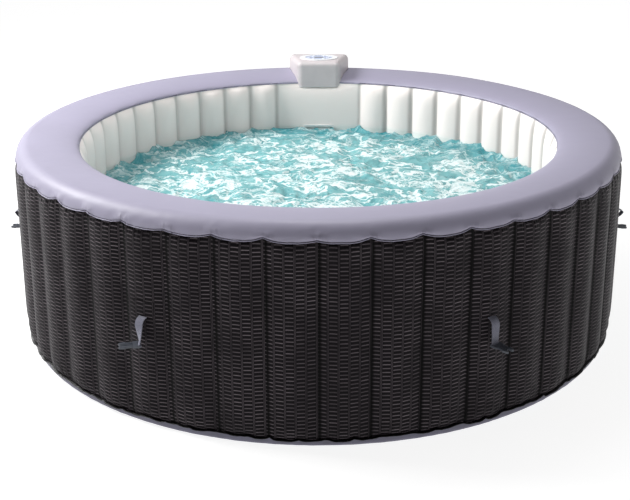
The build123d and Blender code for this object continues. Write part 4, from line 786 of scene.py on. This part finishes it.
def make_water():
    """The bath's surface, out to the flutes, with a skirt down the liner so that no edge shows."""
    _, sizes = settings()
    level, scale = sizes.water_depth, sizes.wave_height
    angles, rings = angles_round(10), 150
    verts = []
    for angle in angles:
        flat = panel_radius(WELL_RADIUS, angle)
        edge = flat if flat is not None else WELL_RADIUS - LINER_DEPTH * flute_phase(angle) ** 0.7
        edge -= 0.8 * MM
        for k in range(rings):
            radius = edge * (0.004 + 0.996 * (k / (rings - 1)) ** 0.72)
            p = wall_point(radius, angle, 0)
            verts.append(Vector((p.x, p.y, level + water_height(p.x, p.y, scale))))
        foot = wall_point(edge, angle, level - 30 * MM)
        verts.append(foot)
    faces = sheet_faces(len(angles), rings + 1)
    faces.append(tuple(i * (rings + 1) for i in range(len(angles))))
    return put("bath_water", verts, faces, "water")


def make_foam():
    """Froth and droplets thrown up where the bubbles break, as small beads on the waves."""
    _, sizes = settings()
    rng = random.Random(23)
    bm = bmesh.new()
    reach = WELL_RADIUS - FLUTE_DEPTH - 12 * MM
    for _ in range(2600):
        angle, radius = rng.uniform(0, math.tau), reach * math.sqrt(rng.random())
        x, y = radius * math.sin(angle), -radius * math.cos(angle)
        if noise.noise(Vector((x * 5, y * 5, 8))) < rng.uniform(-0.25, 0.45):
            continue
        z = sizes.water_depth + water_height(x, y, sizes.wave_height)
        size = rng.choice((1.1, 1.5, 2.0, 2.8)) * MM
        start = len(bm.verts)
        bmesh.ops.create_icosphere(bm, subdivisions=1, radius=size)
        bm.verts.ensure_lookup_table()
        bmesh.ops.translate(bm, verts=bm.verts[start:], vec=(x, y, z + 0.25 * size))
    mesh = bpy.data.meshes.new("bath_froth")
    bm.to_mesh(mesh)
    bm.free()
    mesh.polygons.foreach_set("use_smooth", [True] * len(mesh.polygons))
    piece = bpy.data.objects.new("bath_froth", mesh)
    bpy.context.scene.collection.objects.link(piece)
    mesh.materials.append(finish_of("water"))
    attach(piece, "tub")
    return piece


def slot_of(node):
    """The record's material slot of a CAD node."""
    for part in frame["record"]["subparts"]:
        if part["node"] == node:
            return part["material_slot"]
    raise KeyError(node)


def dress(names):
    """Puts each CAD node's finish on it and smooths its round faces."""
    for name in names:
        node = NODES[name]
        node.data.materials.clear()
        node.data.materials.append(finish_of(slot_of(name)))
        node.data.polygons.foreach_set("use_smooth", [True] * len(node.data.polygons))
        edges = node.modifiers.new("crisp_edges", "EDGE_SPLIT")
        edges.split_angle = math.radians(32)


def soft_copy(name, move=None):
    """Fabric made from a CAD node: long edges divided, gently uneven, and moved as `move` says."""
    node = NODES[name]
    piece = bpy.data.objects.new(name + "_sewn", node.data.copy())
    piece.matrix_world = node.matrix_world.copy()
    bpy.context.scene.collection.objects.link(piece)
    bm = bmesh.new()
    bm.from_mesh(piece.data)
    bmesh.ops.remove_doubles(bm, verts=bm.verts, dist=1e-6)
    for _ in range(2):
        long_edges = [e for e in bm.edges if e.calc_length() > 14 * MM]
        bmesh.ops.subdivide_edges(bm, edges=long_edges, cuts=1)
    bmesh.ops.triangulate(bm, faces=bm.faces)
    inverse = node.matrix_world.inverted()
    for vertex in bm.verts:
        place = node.matrix_world @ vertex.co
        place += Vector((0, 0, 0.1 * MM * noise.noise(place * 60)))
        vertex.co = inverse @ (move(place) if move else place)
    bm.to_mesh(piece.data)
    bm.free()
    piece.data.materials.clear()
    piece.data.materials.append(finish_of(slot_of(name)))
    piece.data.polygons.foreach_set("use_smooth", [True] * len(piece.data.polygons))
    edges = piece.modifiers.new("crisp_edges", "EDGE_SPLIT")
    edges.split_angle = math.radians(40)
    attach(piece, name if name in BODIES else "tub")
    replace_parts(piece, name)
    return piece


def eased(share):
    """0 to 1 with level ends, and held there outside them."""
    share = min(max(share, 0.0), 1.0)
    return share * share * (3 - 2 * share)


def bowed(number, bow):
    """A move for a side strap: its webbing stands off the wall below its root, and comes back to its tongue
    inside the tongue's swing."""
    top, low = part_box(f"strap_{number}")[1].z, JOINTS[f"buckle_{number}_swing"]["pos_m"][2]

    def move(place):
        share = (top - place.z) / (top - low)
        out = bow * eased(share / 0.3) * (1 - eased((share - 0.25) / 0.62))
        return place + Vector((place.x, place.y, 0.0)).normalized() * out

    return move


def make_bottom_pan():
    """Ground sheet turned up at its edge, puckered all round where the wall's weld gathers it."""
    low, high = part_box("bottom_pan")
    turn_up = 12 * MM
    angles = angles_round(12)
    verts = []
    for angle in angles:
        flat = panel_radius(OUTER_RADIUS - FLUTE_DEPTH, angle)
        edge = high.x + 3 * MM if flat is None else min(high.x, flat)
        for share in (0.0, 0.3, 0.6, 0.85):
            verts.append(wall_point((edge - turn_up) * share, angle, 0.4 * MM))
        for k in range(9):
            a = math.pi / 2 * k / 8
            gather = 2.0 * MM * noise.noise(Vector((angle * 48, k * 0.2, 5))) * math.sin(a)
            verts.append(wall_point(edge - turn_up * (1 - math.sin(a)) + gather - 1 * MM, angle,
                                    max(turn_up * (1 - math.cos(a)), 0.4 * MM)))
        verts.append(wall_point(edge - 2 * MM, angle, high.z + foot_wave(angle)))
    return put("bottom_pan_skin", verts, sheet_faces(len(angles), 14), "base_pvc")


def make_floor():
    """Floor of the well: a laminated sheet, drawn down in rings where the bands below hold it."""
    low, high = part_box("floor_liner")
    angles, rows = angles_round(6), 40
    verts = []
    for angle in angles:
        flat = panel_radius(WELL_RADIUS, angle)
        edge = (flat if flat is not None else WELL_RADIUS) - 1 * MM
        for k in range(rows):
            share = k / (rows - 1)
            dimple = 1.2 * MM * abs(math.sin(5 * math.pi * share)) * math.sin(math.pi * share)
            verts.append(wall_point(edge * share, angle, high.z - 1.2 * MM + dimple))
    return put("floor_liner_skin", verts, sheet_faces(len(angles), rows), "liner_pvc")


def make_skimmer_slot_shade():
    """Painted shade in the skimmer slot: a dark tray with an open front, set just behind the slot, stands in for the
    shade in the opening.
    """
    low, high = SLOT_LOW, SLOT_HIGH
    middle, height, half = SLOT_HEIGHT, 4 * MM, 56 * MM
    front, back = low.y + 0.6 * MM, low.y + 9 * MM
    verts, faces = [], []
    for y, grow in ((front, 0.0), (back, -1 * MM)):
        for k in range(24):
            a = math.tau * k / 24
            x = (half - height) * math.copysign(1, math.cos(a)) + (height + grow) * math.cos(a)
            verts.append(Vector((x, y, middle + (height + grow) * math.sin(a))))
    faces += [(k, (k + 1) % 24, 24 + (k + 1) % 24, 24 + k) for k in range(24)]
    faces.append(tuple(range(24, 48)))
    return put("skimmer_slot_shade", verts, faces, "pump_plastic", smooth=False)


# ---------------------------------------------------------------- operators
class TUB_OT_outer_wall(bpy.types.Operator):
    """Make the printed outer wall and its black weld flange"""

    bl_idname = "tub.outer_wall"
    bl_label = "Outer wall"

    def execute(self, context):
        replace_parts(make_outer_wall(), "outer_wall")
        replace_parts(make_bottom_flange(), "bottom_weld")
        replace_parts(make_bottom_pan(), "bottom_pan")
        return {"FINISHED"}


class TUB_OT_top_ring(bpy.types.Operator):
    """Make the crowned top ring and its scalloped seams"""

    bl_idname = "tub.top_ring"
    bl_label = "Top ring"

    def execute(self, context):
        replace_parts(make_top_ring(), "top_ring")
        outer = make_seam_cord("outer_seam_lip", SEAM_RADIUS + 0.5 * MM, OUTER_SEAM + 1 * MM, 2.0 * MM, 7 * MM,
                               "ring_pvc")
        make_seam_cord("inner_seam_lip", WELL_RADIUS - 0.5 * MM, INNER_SEAM + 2 * MM, 1.8 * MM, 0.0, "ring_pvc")
        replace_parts(outer, "ring_seams")
        return {"FINISHED"}


class TUB_OT_well(bpy.types.Operator):
    """Make the white liner; dress the floor and the bubble ring"""

    bl_idname = "tub.well"
    bl_label = "Well"

    def execute(self, context):
        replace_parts(make_liner(), "inner_wall")
        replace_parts(make_floor(), "floor_liner")
        soft_copy("bubble_ring")
        soft_copy("wall_ribs")
        return {"FINISHED"}


class TUB_OT_water(bpy.types.Operator):
    """Fill the well with bubbling water"""

    bl_idname = "tub.water"
    bl_label = "Water"

    def execute(self, context):
        make_water()
        make_foam()
        return {"FINISHED"}


class TUB_OT_head(bpy.types.Operator):
    """Dress the control head, its bezel, keypad and buttons"""

    bl_idname = "tub.head"
    bl_label = "Control head"

    def execute(self, context):
        names = [n for n in NODES if n.startswith(("head_", "pad_", "button_"))]
        dress(names + ["display_window", "control_board"])
        return {"FINISHED"}


class TUB_OT_straps(bpy.types.Operator):
    """Dress the webbing straps and buckle tongues"""

    bl_idname = "tub.straps"
    bl_label = "Straps and buckles"

    def execute(self, context):
        soft_copy("strap_patches")
        for number in range(1, 7):
            soft_copy(f"strap_{number}", bowed(number, SIDE_BOWS[number]) if number in SIDE_BOWS else None)
        dress([f"buckle_{number}" for number in range(1, 7)])
        return {"FINISHED"}


class TUB_OT_pack(bpy.types.Operator):
    """Dress the pump pack and everything in it"""

    bl_idname = "tub.pack"
    bl_label = "Pump pack"

    def execute(self, context):
        starts = ("pack_", "pump_", "blower_", "heater_", "rear_", "cover_", "cord_")
        dress([n for n in NODES if n.startswith(starts)])
        return {"FINISHED"}


class TUB_OT_fittings(bpy.types.Operator):
    """Dress the valves, filter, skimmer and well fittings"""

    bl_idname = "tub.fittings"
    bl_label = "Fittings"

    def execute(self, context):
        starts = ("air_valve", "drain_", "filter_", "suction_", "well_", "skimmer_")
        dress([n for n in NODES if n.startswith(starts)])
        # a dark tray in the skimmer slot is painted shade in its opening
        make_skimmer_slot_shade()
        return {"FINISHED"}


class TUB_OT_stage(bpy.types.Operator):
    """Make the floor, the lights and the camera"""

    bl_idname = "tub.stage"
    bl_label = "Stage"

    def execute(self, context):
        make_studio_floor()
        make_lights()
        make_camera()
        return {"FINISHED"}


# ---------------------------------------------------------------- stage
def make_studio_floor():
    mesh = bpy.data.meshes.new("studio_floor")
    reach = 30.0
    mesh.from_pydata([(-reach, -reach, 0), (reach, -reach, 0), (reach, reach, 0), (-reach, reach, 0)], [],
                     [(0, 1, 2, 3)])
    floor = bpy.data.objects.new("studio_floor", mesh)
    bpy.context.scene.collection.objects.link(floor)
    mesh.materials.append(studio_floor())


def area_light(name, place, size, power, target=(0, 0, 0.3)):
    light = bpy.data.lights.new(name, "AREA")
    light.shape = "RECTANGLE"
    light.size, light.size_y = size
    light.energy = power
    lamp = bpy.data.objects.new(name, light)
    lamp.location = place
    lamp.rotation_mode = "QUATERNION"
    lamp.rotation_quaternion = (Vector(target) - Vector(place)).to_track_quat("-Z", "Y")
    bpy.context.scene.collection.objects.link(lamp)


def make_lights():
    """A soft key from the upper left, and a room that is white at eye level and darker overhead."""
    area_light("key_light", (-2.9, 0.3, 2.8), (1.6, 1.6), 172)
    area_light("well_light", (0.0, -0.05, 2.25), (0.9, 0.9), 17, (0.0, 0.25, 0.4))
    world = bpy.data.worlds.new("white_room")
    bpy.context.scene.world = world
    world.use_nodes = True
    tree = world.node_tree
    way = add(tree, "ShaderNodeSeparateXYZ", {0: add(tree, "ShaderNodeTexCoord").outputs["Generated"]})
    overhead = ramp(tree, way.outputs[2], 0.05, 0.40, 0.85, 0.44)
    front = ramp(tree, way.outputs[1], 0.2, -0.5, 0.0, 0.85)
    above = ramp(tree, way.outputs[2], 0.03, 0.12)
    shade = math_node(tree, "SUBTRACT", 1.0, math_node(tree, "MULTIPLY", front, above))
    tree.links.new(math_node(tree, "MULTIPLY", overhead, shade), tree.nodes["Background"].inputs["Strength"])
    tree.nodes["Background"].inputs["Color"].default_value = (1.0, 1.0, 1.0, 1.0)
    bpy.context.scene.view_settings.view_transform = "Standard"


FRAME_WIDTH = 630
FOCAL = 1102.8 / FRAME_WIDTH  # focal length as a share of the picture's width
CAMERA_DISTANCE, CAMERA_HEIGHT = 3.682, 1.6172
CAMERA_AZIMUTH, CAMERA_TURN = math.radians(0.25), 0.003
CAMERA_PITCH, CAMERA_ROLL = 0.2888, -0.0030
CAMERA_SHIFT = -90.0 / FRAME_WIDTH


def make_camera():
    data = bpy.data.cameras.new("camera")
    data.sensor_width = 36.0
    data.lens = FOCAL * data.sensor_width
    data.shift_y = CAMERA_SHIFT
    camera = bpy.data.objects.new("camera", data)
    camera.location = (CAMERA_DISTANCE * math.sin(CAMERA_AZIMUTH), -CAMERA_DISTANCE * math.cos(CAMERA_AZIMUTH),
                       CAMERA_HEIGHT)
    turn = CAMERA_AZIMUTH + CAMERA_TURN
    aim = Vector((-math.sin(turn) * math.cos(CAMERA_PITCH), math.cos(turn) * math.cos(CAMERA_PITCH),
                  -math.sin(CAMERA_PITCH)))
    camera.rotation_mode = "QUATERNION"
    roll = Quaternion((0.0, 0.0, 1.0), CAMERA_ROLL)
    camera.rotation_quaternion = aim.to_track_quat("-Z", "Y") @ roll
    bpy.context.scene.collection.objects.link(camera)
    bpy.context.scene.camera = camera


# ---------------------------------------------------------------- panel
class TUB_PT_panel(bpy.types.Panel):
    """Lists the tub's settings and operators"""

    bl_label = "Inflatable hot tub"
    bl_idname = "TUB_PT_panel"
    bl_space_type = "VIEW_3D"
    bl_region_type = "UI"
    bl_category = "Tub"

    def draw(self, context):
        for group in (context.scene.tub_colours, context.scene.tub_sizes):
            box = self.layout.box()
            for name in group.__annotations__:
                box.prop(group, name)
        for operator in OPERATORS:
            self.layout.operator(operator.bl_idname)


OPERATORS = (
    TUB_OT_stage, TUB_OT_outer_wall, TUB_OT_top_ring, TUB_OT_well, TUB_OT_water, TUB_OT_head, TUB_OT_straps,
    TUB_OT_pack, TUB_OT_fittings,
)
CLASSES = (TubColours, TubSizes, *OPERATORS, TUB_PT_panel)


def register():
    for item in CLASSES:
        bpy.utils.register_class(item)
    bpy.types.Scene.tub_colours = bpy.props.PointerProperty(type=TubColours)
    bpy.types.Scene.tub_sizes = bpy.props.PointerProperty(type=TubSizes)


def unregister():
    del bpy.types.Scene.tub_sizes
    del bpy.types.Scene.tub_colours
    for item in reversed(CLASSES):
        bpy.utils.unregister_class(item)


def main():
    register()
    for operator in OPERATORS:
        group, name = operator.bl_idname.split(".")
        getattr(getattr(bpy.ops, group), name)()


if __name__ == "__main__":
    main()
